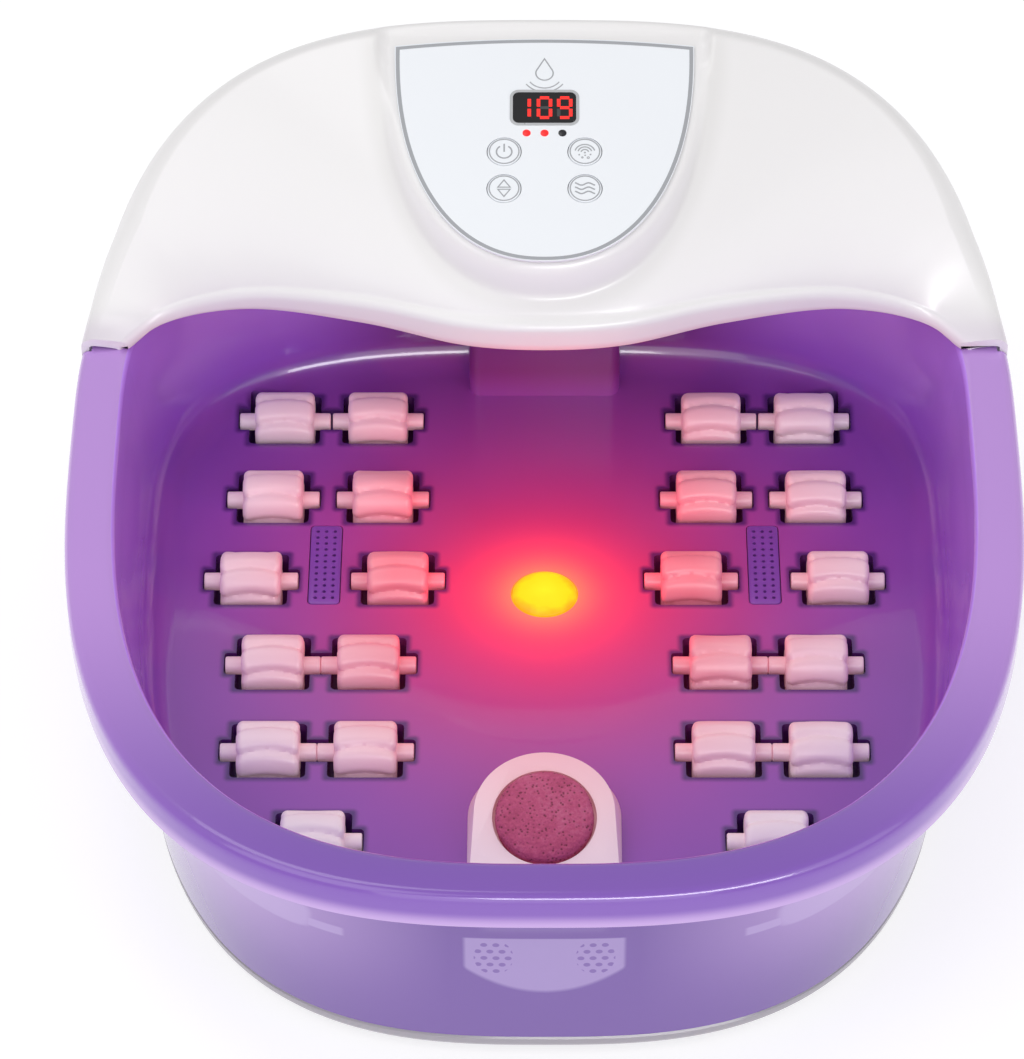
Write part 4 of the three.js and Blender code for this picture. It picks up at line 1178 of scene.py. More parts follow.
def hood_rings(hood, scene, rows):
    """Closed sections of the hood: outer skin from the lip back and down, then the inner skin."""
    wall = scene.spa_tub.wall
    skirt_foot = scene.spa_tub.rim_top - scene.spa_tub.skirt
    rings = []
    for i in range(len(hood.shares)):
        far = hood.length[i]
        fine = np.linspace(0, 1, 1400)
        close = 1 - (1 - np.linspace(0.9, 1, 400)) ** 2
        places = np.unique(np.concatenate([far * fine, far * close]))
        xy = hood.lip[i, :2] + hood.across[i] * places[:, None]
        z = hood.platform(xy[:, 0], xy[:, 1], hood.section(i, 0.0, places))
        outer = along(np.column_stack([xy, z]), np.linspace(0, 1, rows))
        low = hood.lip[i, 2] - hood.band[i]
        top = outer[0, 2]
        front = [
            (
                *hood.lip[i, :2], low + 0.6 * MM + (top - low - 0.6 * MM) * share
            ) for share in (0.0, 0.35, 0.7)
        ]
        end = hood.rim[i]
        foot = outer[-1, 2]
        back = [
            (
                *end, foot + (skirt_foot + 0.8 * MM - foot) * share
            ) for share in (0.2, 0.45, 0.7, 0.9, 1.0)
        ]
        back.append((*(end - hood.across[i] * 0.8 * MM), skirt_foot))
        inner_xy = end - hood.across[i] * wall
        back.append((*inner_xy, skirt_foot))
        inside = np.linspace(far - wall, wall, 16)
        xy = hood.lip[i, :2] + hood.across[i] * inside[:, None]
        under = hood.section(i, wall, inside) - 0.4 * MM
        plane = scene.spa_panel.z + (
            xy[:, 1] - scene.spa_panel.y
        ) * math.tan(scene.spa_panel.tilt) - wall - 1 * MM
        near = np.abs(xy[:, 0]) < scene.spa_panel.half_width + 20 * MM
        under = np.where(near, np.minimum(under, plane), under)
        inner = np.column_stack([xy, under])
        foot_inner = (*(hood.lip[i, :2] + hood.across[i] * wall), low)
        foot_outer = (*(hood.lip[i, :2] + hood.across[i] * 0.6 * MM), low)
        rings.append(np.vstack([front, outer, back, inner, [foot_inner, foot_outer]]))
    return rings


# ------------------------------------------------------------------ the panel's frame
def panel_matrix(p):
    return Matrix.Translation((0, p.y, p.z)) @ Matrix.Rotation(p.tilt, 4, "X")


def label_outline(p, margin, steps=72):
    """Outline of the label, grown by a margin, in the panel's frame."""
    half = p.half_width + margin
    top = p.length + margin - p.arch
    turn = np.linspace(math.pi, 2 * math.pi, steps + 1)
    power = 2 / p.curve
    x = half * np.sign(np.cos(turn)) * np.abs(np.cos(turn)) ** power
    y = top - (top + margin) * np.abs(np.sin(turn)) ** power
    arch = np.linspace(1, -1, 25)[1:-1]
    return np.vstack(
        [np.stack([x, y], axis=1), np.stack([half * arch, top + p.arch * (1 - arch**2)], axis=1)]
    )


def ribbon(path, width, closed=False):
    """Outline quads of a flat line of a given width along a path."""
    path = np.asarray(path, float)
    ahead = np.roll(path, -1, axis=0) - path
    behind = path - np.roll(path, 1, axis=0)
    if not closed:
        ahead[-1] = behind[-1]
        behind[0] = ahead[0]
    run = ahead / np.linalg.norm(ahead, axis=1)[:, None] + behind / np.linalg.norm(
        behind, axis=1
    )[:, None]
    run /= np.linalg.norm(run, axis=1)[:, None]
    side = np.stack([-run[:, 1], run[:, 0]], axis=1)
    bend = np.abs((ahead / np.linalg.norm(ahead, axis=1)[:, None] * run).sum(axis=1))
    side *= (width / 2 / np.maximum(bend, 0.5))[:, None]
    return path - side, path + side


def line_mesh(name, lines, low, high):
    """Thin raised lines, as one mesh: each line is (path, width, closed)."""
    vertices, faces = [], []
    for path, width, is_closed in lines:
        right, left = ribbon(path, width, is_closed)
        count, start = len(right), len(vertices)
        for edge, z in ((right, low), (left, low), (left, high), (right, high)):
            vertices.extend((x, y, z) for x, y in edge)
        spans = count if is_closed else count - 1
        for i in range(spans):
            j = (i + 1) % count
            for a in range(4):
                b = (a + 1) % 4
                faces.append(
                    (
                        start + a * count + i,
                        start + b * count + i,
                        start + b * count + j,
                        start + a * count + j
                    )
                )
        if not is_closed:
            faces.append(tuple(start + a * count for a in (3, 2, 1, 0)))
            faces.append(tuple(start + a * count + count - 1 for a in (0, 1, 2, 3)))
    return outward(piece(name, vertices, faces))


def placed(made, matrix):
    """Moves a mesh's points by a matrix."""
    made.data.transform(matrix)
    made.data.update()
    return made


def arc(x, y, radius, start, end, steps=24):
    turn = np.radians(np.linspace(start, end, steps))
    return np.stack([x + radius * np.cos(turn), y + radius * np.sin(turn)], axis=1)


# ------------------------------------------------------------------ operators
class FOOTSPA_OT_tub(bpy.types.Operator):
    """Make the tub with its rim, its floor and the pits of the rollers"""

    bl_idname = "footspa.tub"
    bl_label = "Tub"

    def execute(self, context):
        sizes = context.scene.spa_tub
        plan = Plan(sizes, sizes.columns, context.scene.spa_hood.start)
        tub = outward(loft("tub_shell", self.profile(plan, sizes, context.scene.spa_hood.start)))
        self.cut_pits(tub, context)
        smooth(tub, 38)
        hand_over(tub, TUB, tub_finish(), "tub", "basin")
        return {"FINISHED"}

    def profile(self, plan, s, hood_start):
        """Rings from the middle of the floor's underside, round the rim, to the top of the
        floor."""
        rings = []
        hidden = plan.at(plan.turns, 0.0)[:, 1] > hood_start

        def level(z, amount):
            rings.append(plan.ring(deeper(plan.wall_inset(z), amount), z))

        def rim(inset, z):
            visible = plan.ring(inset, z)
            tucked = plan.ring(max(inset, s.wall + 1.0 * MM), z)
            rings.append(np.where(hidden[:, None], tucked, visible))

        under = s.floor_top - s.wall
        level(under, s.wall + 6 * MM)
        level(under - 2 * MM, s.wall)
        level(s.wall_foot + 0.6 * MM, s.wall)
        level(s.wall_foot, s.wall - 0.6 * MM)
        level(s.wall_foot, 0.6 * MM)
        level(s.wall_foot + 0.6 * MM, 0.0)
        for share in np.linspace(0.12, 1, 8):
            level(s.wall_foot + (s.rim_top - s.wall - 5 * MM - s.wall_foot) * share, 0.0)
        top = s.rim_top - s.wall
        for degrees in (30, 60, 90):
            turn = math.radians(degrees)
            inset = deeper(plan.wall_inset(top - 5 * MM), -4 * MM * (1 - math.cos(turn)))
            rings.append(plan.ring(inset, top - 5 * MM + 5 * MM * math.sin(turn)))
        rim(s.wall + 3 * MM, top)
        rim(s.wall + 0.9 * MM, top - 0.9 * MM)
        foot = s.rim_top - s.skirt
        rim(s.wall, top - 3 * MM)
        rim(s.wall, foot + 0.8 * MM)
        rim(s.wall - 0.7 * MM, foot)
        rim(0.9 * MM, foot)
        rim(0.1 * MM, foot + 0.9 * MM)
        rim(0.0, foot + 3 * MM)
        rim(0.0, s.rim_top - s.rim_round - 3 * MM)
        for degrees in (0, 18, 36, 54, 72, 90):
            turn = math.radians(degrees)
            rim(s.rim_round * (1 - math.cos(turn)), s.rim_top - s.rim_round * (1 - math.sin(turn)))
        inner = s.rim_width
        crown = 0.25 * MM
        rim(inner * 0.45, s.rim_top)
        rim(inner - 4 * MM, s.rim_top - crown * 0.2)
        for degrees in (20, 45, 70, 90):
            turn = math.radians(degrees)
            rim(
                inner - 3 * MM * (1 - math.sin(turn)),
                s.rim_top - 3 * MM * (1 - math.cos(turn)) - crown
            )
        fillet = s.floor_fillet
        for share in np.linspace(0.12, 1, 9):
            level(
                s.rim_top - 3 * MM - crown - (s.rim_top - 3 * MM - fillet - s.floor_top) * share,
                s.wall
            )
        for degrees in (15, 30, 45, 60, 75, 90):
            turn = math.radians(degrees)
            z = s.floor_top + fillet * (1 - math.sin(turn))
            rings.append(
                plan.ring(
                    deeper(
                        plan.wall_inset(s.floor_top + fillet),
                        s.wall + fillet * (1 - math.cos(turn))
                    ),
                    z
                )
            )
        return rings

    def cut_pits(self, tub, context):
        """Sinks the plus-shaped pits, the lamp's hole and the slots of the bubble strips."""
        s, r, f = context.scene.spa_tub, context.scene.spa_rollers, context.scene.spa_fittings
        rollers, rows = roller_places(r)
        axis = s.floor_top - r.drop
        half_x = r.drum_length / 2 + r.clearance
        half_y = r.drum_radius + r.clearance
        half_stub = r.length / 2 + 0.6 * MM
        shell = 2 * MM
        drums = [(x, y) for _, x, y in rollers]

        def boxes(grow, places, width, depth, radius):
            return [
                rounded_box(
                    (x0 - width - grow, y - depth - grow),
                    (x1 + width + grow, y + depth + grow),
                    radius + grow
                )
                for x0, x1, y in places
            ]

        drum_places = [(x, x, y) for x, y in drums]
        slot_places = []
        for sign in (-1, 1):
            for y, spread in rows:
                middle = sign * r.foot_x
                if not spread or 2 * (spread - half_stub) < 1.5 * MM:
                    slot_places.append((middle - spread, middle + spread, y))
                else:
                    slot_places.extend((middle + o, middle + o, y) for o in (-spread, spread))
        bottom = axis - half_y
        slot_bottom = axis - r.stub_radius - 0.4 * MM
        buried = s.floor_top - 1.5 * MM
        over = s.floor_top + 5 * MM
        carve(
            tub,
            prisms(
                "pit_blocks",
                boxes(shell, drum_places, half_x, half_y, 2 * MM),
                bottom - shell,
                buried
            ),
            "UNION"
        )
        carve(
            tub,
            prisms(
                "slot_blocks",
                boxes(shell, slot_places, half_stub, r.slot / 2, 1.6 * MM),
                slot_bottom - shell,
                buried
            ),
            "UNION"
        )
        carve(tub, prisms("pits", boxes(0, drum_places, half_x, half_y, 2 * MM), bottom, over))
        carve(
            tub,
            prisms(
                "slots", boxes(0, slot_places, half_stub, r.slot / 2, 1.6 * MM), slot_bottom, over
            )
        )
        strips = [
            rounded_box(
                (side * r.foot_x - f.strip_width / 2, f.strip_y - f.strip_length / 2),
                (side * r.foot_x + f.strip_width / 2, f.strip_y + f.strip_length / 2),
                2 * MM,
            )
            for side in (-1, 1)
        ]
        lamp = [circle(0, f.lamp_y, f.lamp_radius + 0.3 * MM, 64)]
        carve(tub, prisms("fitting_holes", strips + lamp, s.floor_top - 8 * MM, over))
        side = DUCT_HALF_WIDTH + DUCT_WALL
        back = s.back - s.rim_width
        duct = [rounded_box((-side, DUCT_FRONT - DUCT_WALL), (side, back + 0.5 * MM), 5 * MM)]
        carve(tub, prisms("duct_wall", duct, s.floor_top - 0.5 * MM, s.rim_top - 0.6 * MM), "UNION")
        duct = [rounded_box((-DUCT_HALF_WIDTH, DUCT_FRONT), (DUCT_HALF_WIDTH, back), 3 * MM)]
        carve(tub, prisms("duct", duct, 0, s.rim_top + 5 * MM))
        opening = [
            rounded_box(
                (-DUCT_HALF_WIDTH, DUCT_FRONT + 4 * MM), (DUCT_HALF_WIDTH, s.back + 20 * MM), 1 * MM
            )
        ]
        carve(tub, prisms("back_opening", opening, 0, s.rim_top - s.skirt - 0.3 * MM))


class FOOTSPA_OT_pan(bpy.types.Operator):
    """Make the white pan under the tub"""

    bl_idname = "footspa.pan"
    bl_label = "Pan"

    def execute(self, context):
        s = context.scene.spa_tub
        plan = Plan(s, s.columns)
        rim = plan.wall_inset(s.wall_foot)
        top = s.wall_foot - 0.3 * MM
        rings = [
            plan.ring(deeper(rim, s.pan_tuck + 12 * MM), s.pan_bottom + s.wall),
            plan.ring(deeper(rim, s.pan_tuck + 1 * MM), s.pan_bottom + s.wall),
            plan.ring(deeper(rim, 3.4 * MM), s.pan_bottom + s.wall + 2 * MM),
            plan.ring(deeper(rim, 3.4 * MM), top - 1 * MM),
            plan.ring(deeper(rim, 3.2 * MM), top),
            plan.ring(deeper(rim, 0.8 * MM), top),
            plan.ring(deeper(rim, 0.1 * MM), top - 0.7 * MM),
        ]
        for share in np.linspace(0.15, 1, 9):
            turn = share * math.pi / 2
            height = (top - 1.5 * MM - s.pan_bottom) * (1 - math.sin(turn))
            rings.append(
                plan.ring(
                    deeper(rim, s.pan_tuck * (1 - math.cos(turn)) ** 0.9), s.pan_bottom + height
                )
            )
        rings.append(plan.ring(deeper(rim, s.pan_tuck + 6 * MM), s.pan_bottom))
        pan = outward(loft("pan_shell", rings))
        feet = [circle(x * 98 * MM, y * MM, 4 * MM, 24) for x in (-1, 1) for y in (-92, 128)]
        screws = [circle(x * 42 * MM, y * MM, 1.9 * MM, 16) for x in (-1, 1) for y in (-118, 118)]
        carve(pan, prisms("pan_holes", feet + screws, 0, 10 * MM))
        smooth(pan, 40)
        hand_over(
            pan,
            TUB,
            # Painted shade: the white pan has a dark grey-lilac base for the shade under the tub.
            shell_finish("pan_white", (0.33, 0.305, 0.345), 0.32, (0.40, 0.36, 0.44)),
            "white",
            "base_pan"
        )
        return {"FINISHED"}


class FOOTSPA_OT_hood(bpy.types.Operator):
    """Make the hood with the platform of the key panel"""

    bl_idname = "footspa.hood"
    bl_label = "Hood"

    def execute(self, context):
        scene = context.scene
        hood = Hood(scene, np.linspace(0, 1, scene.spa_hood.columns + 1))
        shell = outward(loft("hood_shell", hood_rings(hood, scene, scene.spa_hood.rows)))
        p = scene.spa_panel
        key_holes = [
            circle(
                x * p.key_x, y, p.key_radius + 0.4 * MM, 40
            ) for x in (-1, 1) for y in (p.key_upper, p.key_lower)
        ]
        window = rounded_box(
            (-p.display_width / 2 - 0.5 * MM, p.display_along - p.display_height / 2 - 0.5 * MM),
            (p.display_width / 2 + 0.5 * MM, p.display_along + p.display_height / 2 + 0.5 * MM),
            3 * MM,
        )
        tool = placed(
            prisms("panel_holes", [*key_holes, window], -40 * MM, 5 * MM), panel_matrix(p)
        )
        carve(shell, tool)
        smooth(shell, 50)
        hand_over(shell, TUB, hood_finish(), "white", "hood")
        return {"FINISHED"}


class FOOTSPA_OT_label(bpy.types.Operator):
    """Make the label of the key panel with its printed outline and drop sign"""

    bl_idname = "footspa.label"
    bl_label = "Label"

    def execute(self, context):
        p = context.scene.spa_panel
        matrix = panel_matrix(p)
        low, high = p.gap, p.gap + p.label
        label = outward(prisms("key_label", [label_outline(p, 0.0)], low, high))
        holes = [
            circle(
                x * p.key_x, y, p.key_radius + 0.3 * MM, 48
            ) for x in (-1, 1) for y in (p.key_upper, p.key_lower)
        ]
        half_w, half_h = p.display_width / 2, p.display_height / 2
        holes.append(
            rounded_box(
                (-half_w, p.display_along - half_h), (half_w, p.display_along + half_h), 3 * MM, 8
            )
        )
        carve(label, prisms("label_holes", holes, -5 * MM, 5 * MM))
        smooth(eased(label, 0.25 * MM, 2), 12)
        placed(label, matrix)
        film = plain_finish(
            "label_film", shade("label"), 0.22, grain=25.0, depth=0.00001, spread=0.08
        )
        hand_over(label, TUB, film, "label", "panel_overlay")
        inset = 1.2 * MM
        border = label_outline(p, -inset, 96)
        printed = [(border, 1.5 * MM, True)]
        drop_y = p.display_along + 17.5 * MM
        printed.append((self.drop(drop_y), 0.55 * MM, True))
        printed.extend(
            (arc(0, drop_y - 1.0 * MM, r * MM, 215, 325), 0.5 * MM, False) for r in (7.0, 8.8)
        )
        lines = line_mesh("label_print", printed, high - 0.02 * MM, high + 0.04 * MM)
        placed(lines, matrix)
        ink = plain_finish("print_grey", shade("print_grey"), 0.35, grain=200.0, spread=0.12)
        hand_over(lines, TUB, ink, "label")
        return {"FINISHED"}

    def drop(self, y):
        """Outline of a water drop."""
        turn = np.radians(np.linspace(-215, 35, 30))
        radius = 3.4 * MM
        round_part = np.stack([radius * np.cos(turn), y - 0.8 * MM + radius * np.sin(turn)], axis=1)
        return np.vstack([round_part, [(0, y + 6.2 * MM)]])


class FOOTSPA_OT_display(bpy.types.Operator):
    """Make the display: its window, its bezel, the numerals and the three lights"""

    bl_idname = "footspa.display"
    bl_label = "Display"

    NUMERALS = ("bc", "abcdef", "abcdfg")  # lit segments of each numeral

    def execute(self, context):
        p = context.scene.spa_panel
        matrix = panel_matrix(p)
        top = p.gap + p.label
        y, half_w, half_h = p.display_along, p.display_width / 2, p.display_height / 2
        inset = 0.3 * MM
        outline = rounded_box(
            (-half_w + inset, y - half_h + inset), (half_w - inset, y + half_h - inset), 2.8 * MM, 8
        )
        window = outward(prisms("display_glass", [outline], -0.6 * MM, top + 0.02 * MM))
        smooth(eased(window, 0.2 * MM, 2), 12)
        placed(window, matrix)
        smoked = plain_finish(
            "smoked_window", (0.008, 0.008, 0.010), 0.1, grain=60.0, depth=0.0, spread=0.3
        )
        hand_over(window, TUB, smoked, "smoked", "display_window")
        border = rounded_box((-half_w, y - half_h), (half_w, y + half_h), 3 * MM, 8)
        bezel = line_mesh(
            "display_bezel", [(border, 1.2 * MM, True)], top - 0.1 * MM, top + 0.16 * MM
        )
        placed(bezel, matrix)
        silver = plain_finish("bezel_silver", (0.55, 0.56, 0.58), 0.28, 0.6, grain=150.0)
        hand_over(bezel, TUB, silver, "label")
        self.numerals(matrix, y, top + 0.02 * MM)
        self.lights(matrix, p.display_along - 12.2 * MM, top - 0.1 * MM)
        return {"FINISHED"}

    def numerals(self, matrix, y, top):
        """Seven segments per numeral, lit or dark."""
        half, tall = 2.35 * MM, 4.75 * MM
        ends = {
            "a": ((-half, tall), (half, tall)),
            "b": ((half, tall), (half, 0)),
            "c": ((half, 0), (half, -tall)),
            "d": ((-half, -tall), (half, -tall)),
            "e": ((-half, 0), (-half, -tall)),
            "f": ((-half, tall), (-half, 0)),
            "g": ((-half, 0), (half, 0)),
        }
        lit, dark = [], []
        for place, on in zip((-8.3 * MM, 0.0, 7.9 * MM), self.NUMERALS):
            for name, (start, end) in ends.items():
                start, end = np.array(start), np.array(end)
                run = (end - start) / np.linalg.norm(end - start)
                path = [start + run * 0.55 * MM + (place, y), end - run * 0.55 * MM + (place, y)]
                shown = name in on
                if shown or place > -1 * MM:
                    (lit if shown else dark).append((path, 1.35 * MM, False))
        segments = line_mesh("lit_segments", lit, top - 0.05 * MM, top + 0.03 * MM)
        placed(segments, matrix)
        hand_over(segments, TUB, lit_finish("segment_red", (0.9, 0.015, 0.01), 0.9), "smoked")
        off = line_mesh("dark_segments", dark, top - 0.05 * MM, top + 0.025 * MM)
        placed(off, matrix)
        hand_over(
            off, TUB, plain_finish("segment_dark", (0.05, 0.055, 0.06), 0.3, grain=500.0), "smoked"
        )

    def lights(self, matrix, y, top):
        """Three small lights under the display, the last one dark."""
        for name, x, finish_made in (
            ("indicator_left", -7.0, lit_finish("indicator_red", (0.95, 0.01, 0.01), 1.0)),
            ("indicator_middle", 0.0, lit_finish("indicator_red_2", (0.95, 0.01, 0.01), 1.0)),
            (
                "indicator_right",
                7.0,
                plain_finish("indicator_dark", (0.01, 0.01, 0.015), 0.25, grain=400.0)
            ),
        ):
            dot = outward(
                prisms(name, [circle(x * MM, y, 1.6 * MM, 28)], top - 0.3 * MM, top + 0.3 * MM)
            )
            smooth(eased(dot, 0.12 * MM, 2), 40)
            placed(dot, matrix)
            hand_over(dot, TUB, finish_made, "smoked")


class FOOTSPA_OT_keys(bpy.types.Operator):
    """Make the four keys with their rings and signs"""

    bl_idname = "footspa.keys"
    bl_label = "Keys"

    def execute(self, context):
        p = context.scene.spa_panel
        film = plain_finish(
            "key_film", shade("label"), 0.24, grain=25.0, depth=0.00001, spread=0.08
        )
        ink = plain_finish("key_print", shade("print_grey"), 0.35, grain=200.0, spread=0.12)
        keys = [
            ("button_power", -p.key_x, p.key_upper, self.power()),
            ("button_light_bubble", p.key_x, p.key_upper, self.light_and_bubble()),
            ("button_temperature", -p.key_x, p.key_lower, self.up_and_down()),
            ("button_vibration", p.key_x, p.key_lower, self.waves()),
        ]
        for name, x, y, lines in keys:
            matrix = panel_matrix(p) @ Matrix.Translation((x, y, 0))
            top = p.gap + p.label + 0.1 * MM
            radius = p.key_radius
            rings = [np.column_stack([circle(0, 0, radius - 0.2 * MM, 56), np.full(56, -1.2 * MM)])]
            rings.append(np.column_stack([circle(0, 0, radius, 56), np.full(56, -1.0 * MM)]))
            for degrees in (0, 30, 60, 90):
                turn = math.radians(degrees)
                r = radius - 0.4 * MM * (1 - math.cos(turn))
                rings.append(
                    np.column_stack(
                        [circle(0, 0, r, 56), np.full(56, top - 0.4 * MM * (1 - math.sin(turn)))]
                    )
                )
            cap = smooth(outward(loft(name + "_cap", rings)), 12)
            placed(cap, matrix)
            hand_over(cap, name, film, "label", name)
            ring = (circle(0, 0, radius - 0.75 * MM, 56), 0.5 * MM, True)
            sign = line_mesh(name + "_sign", [ring, *lines], top - 0.02 * MM, top + 0.05 * MM)
            placed(sign, matrix)
            hand_over(sign, name, ink, "label")
        return {"FINISHED"}

    def power(self):
        thick = 0.6 * MM
        return [
            (arc(0, -0.2 * MM, 3.0 * MM, 122, 418, 40), thick, False),
            ([(0, 3.6 * MM), (0, -0.2 * MM)], thick, False)
        ]

    def light_and_bubble(self):
        lines = [(arc(0, -0.6 * MM, r * MM, 15, 165), 0.5 * MM, False) for r in (3.9, 2.7, 1.5)]
        for x, y, r in (
            (0, -0.6, 0.22),
            (-2.2, -1.6, 0.18),
            (2.2, -1.5, 0.18),
            (-1.0, -2.9, 0.3),
            (1.3, -3.0, 0.42),
            (0.1, -1.9, 0.16)
        ):
            lines.append((circle(x * MM, y * MM, r * MM, 12), 0.36 * MM, True))
        return lines

    def up_and_down(self):
        up = np.array([(-2.4, 0.5), (2.4, 0.5), (0, 3.9)]) * MM
        down = np.array([(2.4, -0.5), (-2.4, -0.5), (0, -3.9)]) * MM
        return [(up, 0.5 * MM, True), (down, 0.5 * MM, True)]

    def waves(self):
        x = np.linspace(-3.9, 3.9, 28)
        return [
            (
                np.stack([x, y + 0.55 * np.sin(x * 1.15)], axis=1) * MM, 0.6 * MM, False
            ) for y in (2.0, 0.0, -2.0)
        ]


class FOOTSPA_OT_rollers(bpy.types.Operator):
    """Make the massage rollers"""

    bl_idname = "footspa.rollers"
    bl_label = "Rollers"

    def execute(self, context):
        s, r = context.scene.spa_tub, context.scene.spa_rollers
        tree = roller_recipe()
        white = lit_white_finish("roller_white", shade("roller"))
        for index, (name, x, y) in enumerate(roller_places(r)[0]):
            values = {
                "Drum radius": r.drum_radius,
                "Drum length": r.drum_length,
                "Stub radius": r.stub_radius,
                "Length": r.length,
                "Ribs": r.ribs,
                "Valley": r.valley,
                "Turn": 0.9 * index,
                "Place": (x, y, s.floor_top - r.drop),
                "Material": white,
            }
            roller = smooth(outward(grown(name + "_drum", tree, values)), 42)
            hand_over(roller, name, white, "roller_white", name)
        return {"FINISHED"}


class FOOTSPA_OT_fittings(bpy.types.Operator):
    """Make the lamp's lens and the bubble strips"""

    bl_idname = "footspa.fittings"
    bl_label = "Fittings"

    def execute(self, context):
        s, r, f = context.scene.spa_tub, context.scene.spa_rollers, context.scene.spa_fittings
        self.lens(s, f)
        tree = perforation_recipe()
        violet = plain_finish("strip_violet", shade("tub_floor"), 0.3, grain=60.0, spread=0.4)
        for side, sign in (("left", -1), ("right", 1)):
            x, gap = sign * r.foot_x, 0.3 * MM
            outline = rounded_box(
                (x - f.strip_width / 2 + gap, f.strip_y - f.strip_length / 2 + gap),
                (x + f.strip_width / 2 - gap, f.strip_y + f.strip_length / 2 - gap),
                1.8 * MM,
            )
            strip = outward(
                prisms(
                    "bubble_plate_" + side, [outline], s.floor_top - 3 * MM, s.floor_top + 0.3 * MM
                )
            )
            eased(strip, 0.5 * MM, 2)
            values = {
                "Columns": 3, "Rows": 12, "Pitch": 3.4 * MM, "Row pitch": 3.5 * MM, "Stagger": 0.0,
                "Radius": 0.75 * MM, "Depth": 20 * MM, "Material": violet,
            }
            pegs = placed(
                grown("strip_pegs", tree, values), Matrix.Translation((x, f.strip_y, s.floor_top))
            )
            carve(strip, pegs)
            smooth(strip, 40)
            hand_over(strip, TUB, violet, "tub", "bubble_strip_" + side)
        return {"FINISHED"}

    def lens(self, s, f):
        radius, low = f.lamp_radius - 0.3 * MM, s.floor_top - 5.3 * MM
        levels = [(low, radius + 3 * MM), (low + 2 * MM, radius + 3 * MM), (low + 2 * MM, radius)]
        levels.append((s.floor_top + 0.2 * MM, radius))
        for degrees in range(10, 90, 10):
            turn = math.radians(degrees)
            levels.append(
                (s.floor_top + 0.2 * MM + 1.8 * MM * math.sin(turn), radius * math.cos(turn))
            )
        rings = [np.column_stack([circle(0, f.lamp_y, r, 72), np.full(72, z)]) for z, r in levels]
        lens = smooth(outward(loft("lamp_lens", rings)), 40)
        hand_over(lens, TUB, lamp_finish(), "lamp_red", "light_lens")


class FOOTSPA_OT_pumice(bpy.types.Operator):
    """Make the pumice stone and its holder"""

    bl_idname = "footspa.pumice"
    bl_label = "Pumice"

    def execute(self, context):
        s, f = context.scene.spa_tub, context.scene.spa_fittings
        matrix = Matrix.Translation(
            (0, f.stone_y, f.stone_z)
        ) @ Matrix.Rotation(f.stone_tilt, 4, "X")
        self.holder(s, f, matrix)
        rock = pumice_finish()
        values = {
            "Radius": f.stone_radius - 0.2 * MM,
            "Thickness": f.stone_thickness,
            "Roughness": 0.05,
            "Material": rock,
        }
        stone = grown("pumice_rock", stone_recipe(), values)
        placed(stone, matrix @ Matrix.Translation((0, 0, -f.stone_thickness / 2)))
        smooth(outward(stone), 60)
        hand_over(stone, "pumice_stone", rock, "pumice", "pumice_stone")
        return {"FINISHED"}

    def holder(self, s, f, matrix):
        rings = []
        low, high = s.floor_top + 0.3 * MM, f.holder_top
        for share in np.linspace(0, 1, 14):
            half = f.holder_half + (f.holder_top_half - f.holder_half) * share
            back = f.holder_back + (f.holder_top_back - f.holder_back) * share**0.8
            turn = np.linspace(0, math.pi, 49)
            arch = np.stack([half * np.cos(turn), back - half * (1 - np.sin(turn))], axis=1)
            front = f.holder_front + 6 * MM * share
            flat = np.vstack([arch, [(-half, front), (half, front)]])
            rings.append(np.column_stack([flat, np.full(len(flat), low + (high - low) * share)]))
        holder = outward(loft("holder_shell", rings))
        slab = [rounded_box((-0.1, -0.15), (0.1, 0.15), 1 * MM)]
        carve(holder, placed(prisms("holder_face", slab, -4 * MM, 60 * MM), matrix))
        pocket = [circle(0, 0, f.stone_radius + 0.6 * MM, 96)]
        carve(
            holder,
            placed(prisms("holder_pocket", pocket, -f.stone_thickness - 0.3 * MM, 20 * MM), matrix)
        )
        holder = eased(holder, 1.1 * MM, 3, 40)
        tree = perforation_recipe()
        white = lit_white_finish("holder_white", shade("roller"), 1.25)
        values = {
            "Columns": 4, "Rows": 4, "Pitch": 3.6 * MM, "Row pitch": 3.2 * MM, "Stagger": 1.8 * MM,
            "Radius": 0.8 * MM, "Depth": 8 * MM, "Material": white,
        }
        for side in (-1, 1):
            pegs = grown("holder_pegs", tree, values)
            turned = Matrix.Translation(
                (side * 14 * MM, f.holder_front + 2 * MM, s.floor_top + 8.5 * MM)
            )
            placed(pegs, turned @ Matrix.Rotation(math.pi / 2, 4, "X"))
            carve(holder, pegs)
        smooth(holder, 40)
        hand_over(holder, TUB, white, "white", "pumice_holder")


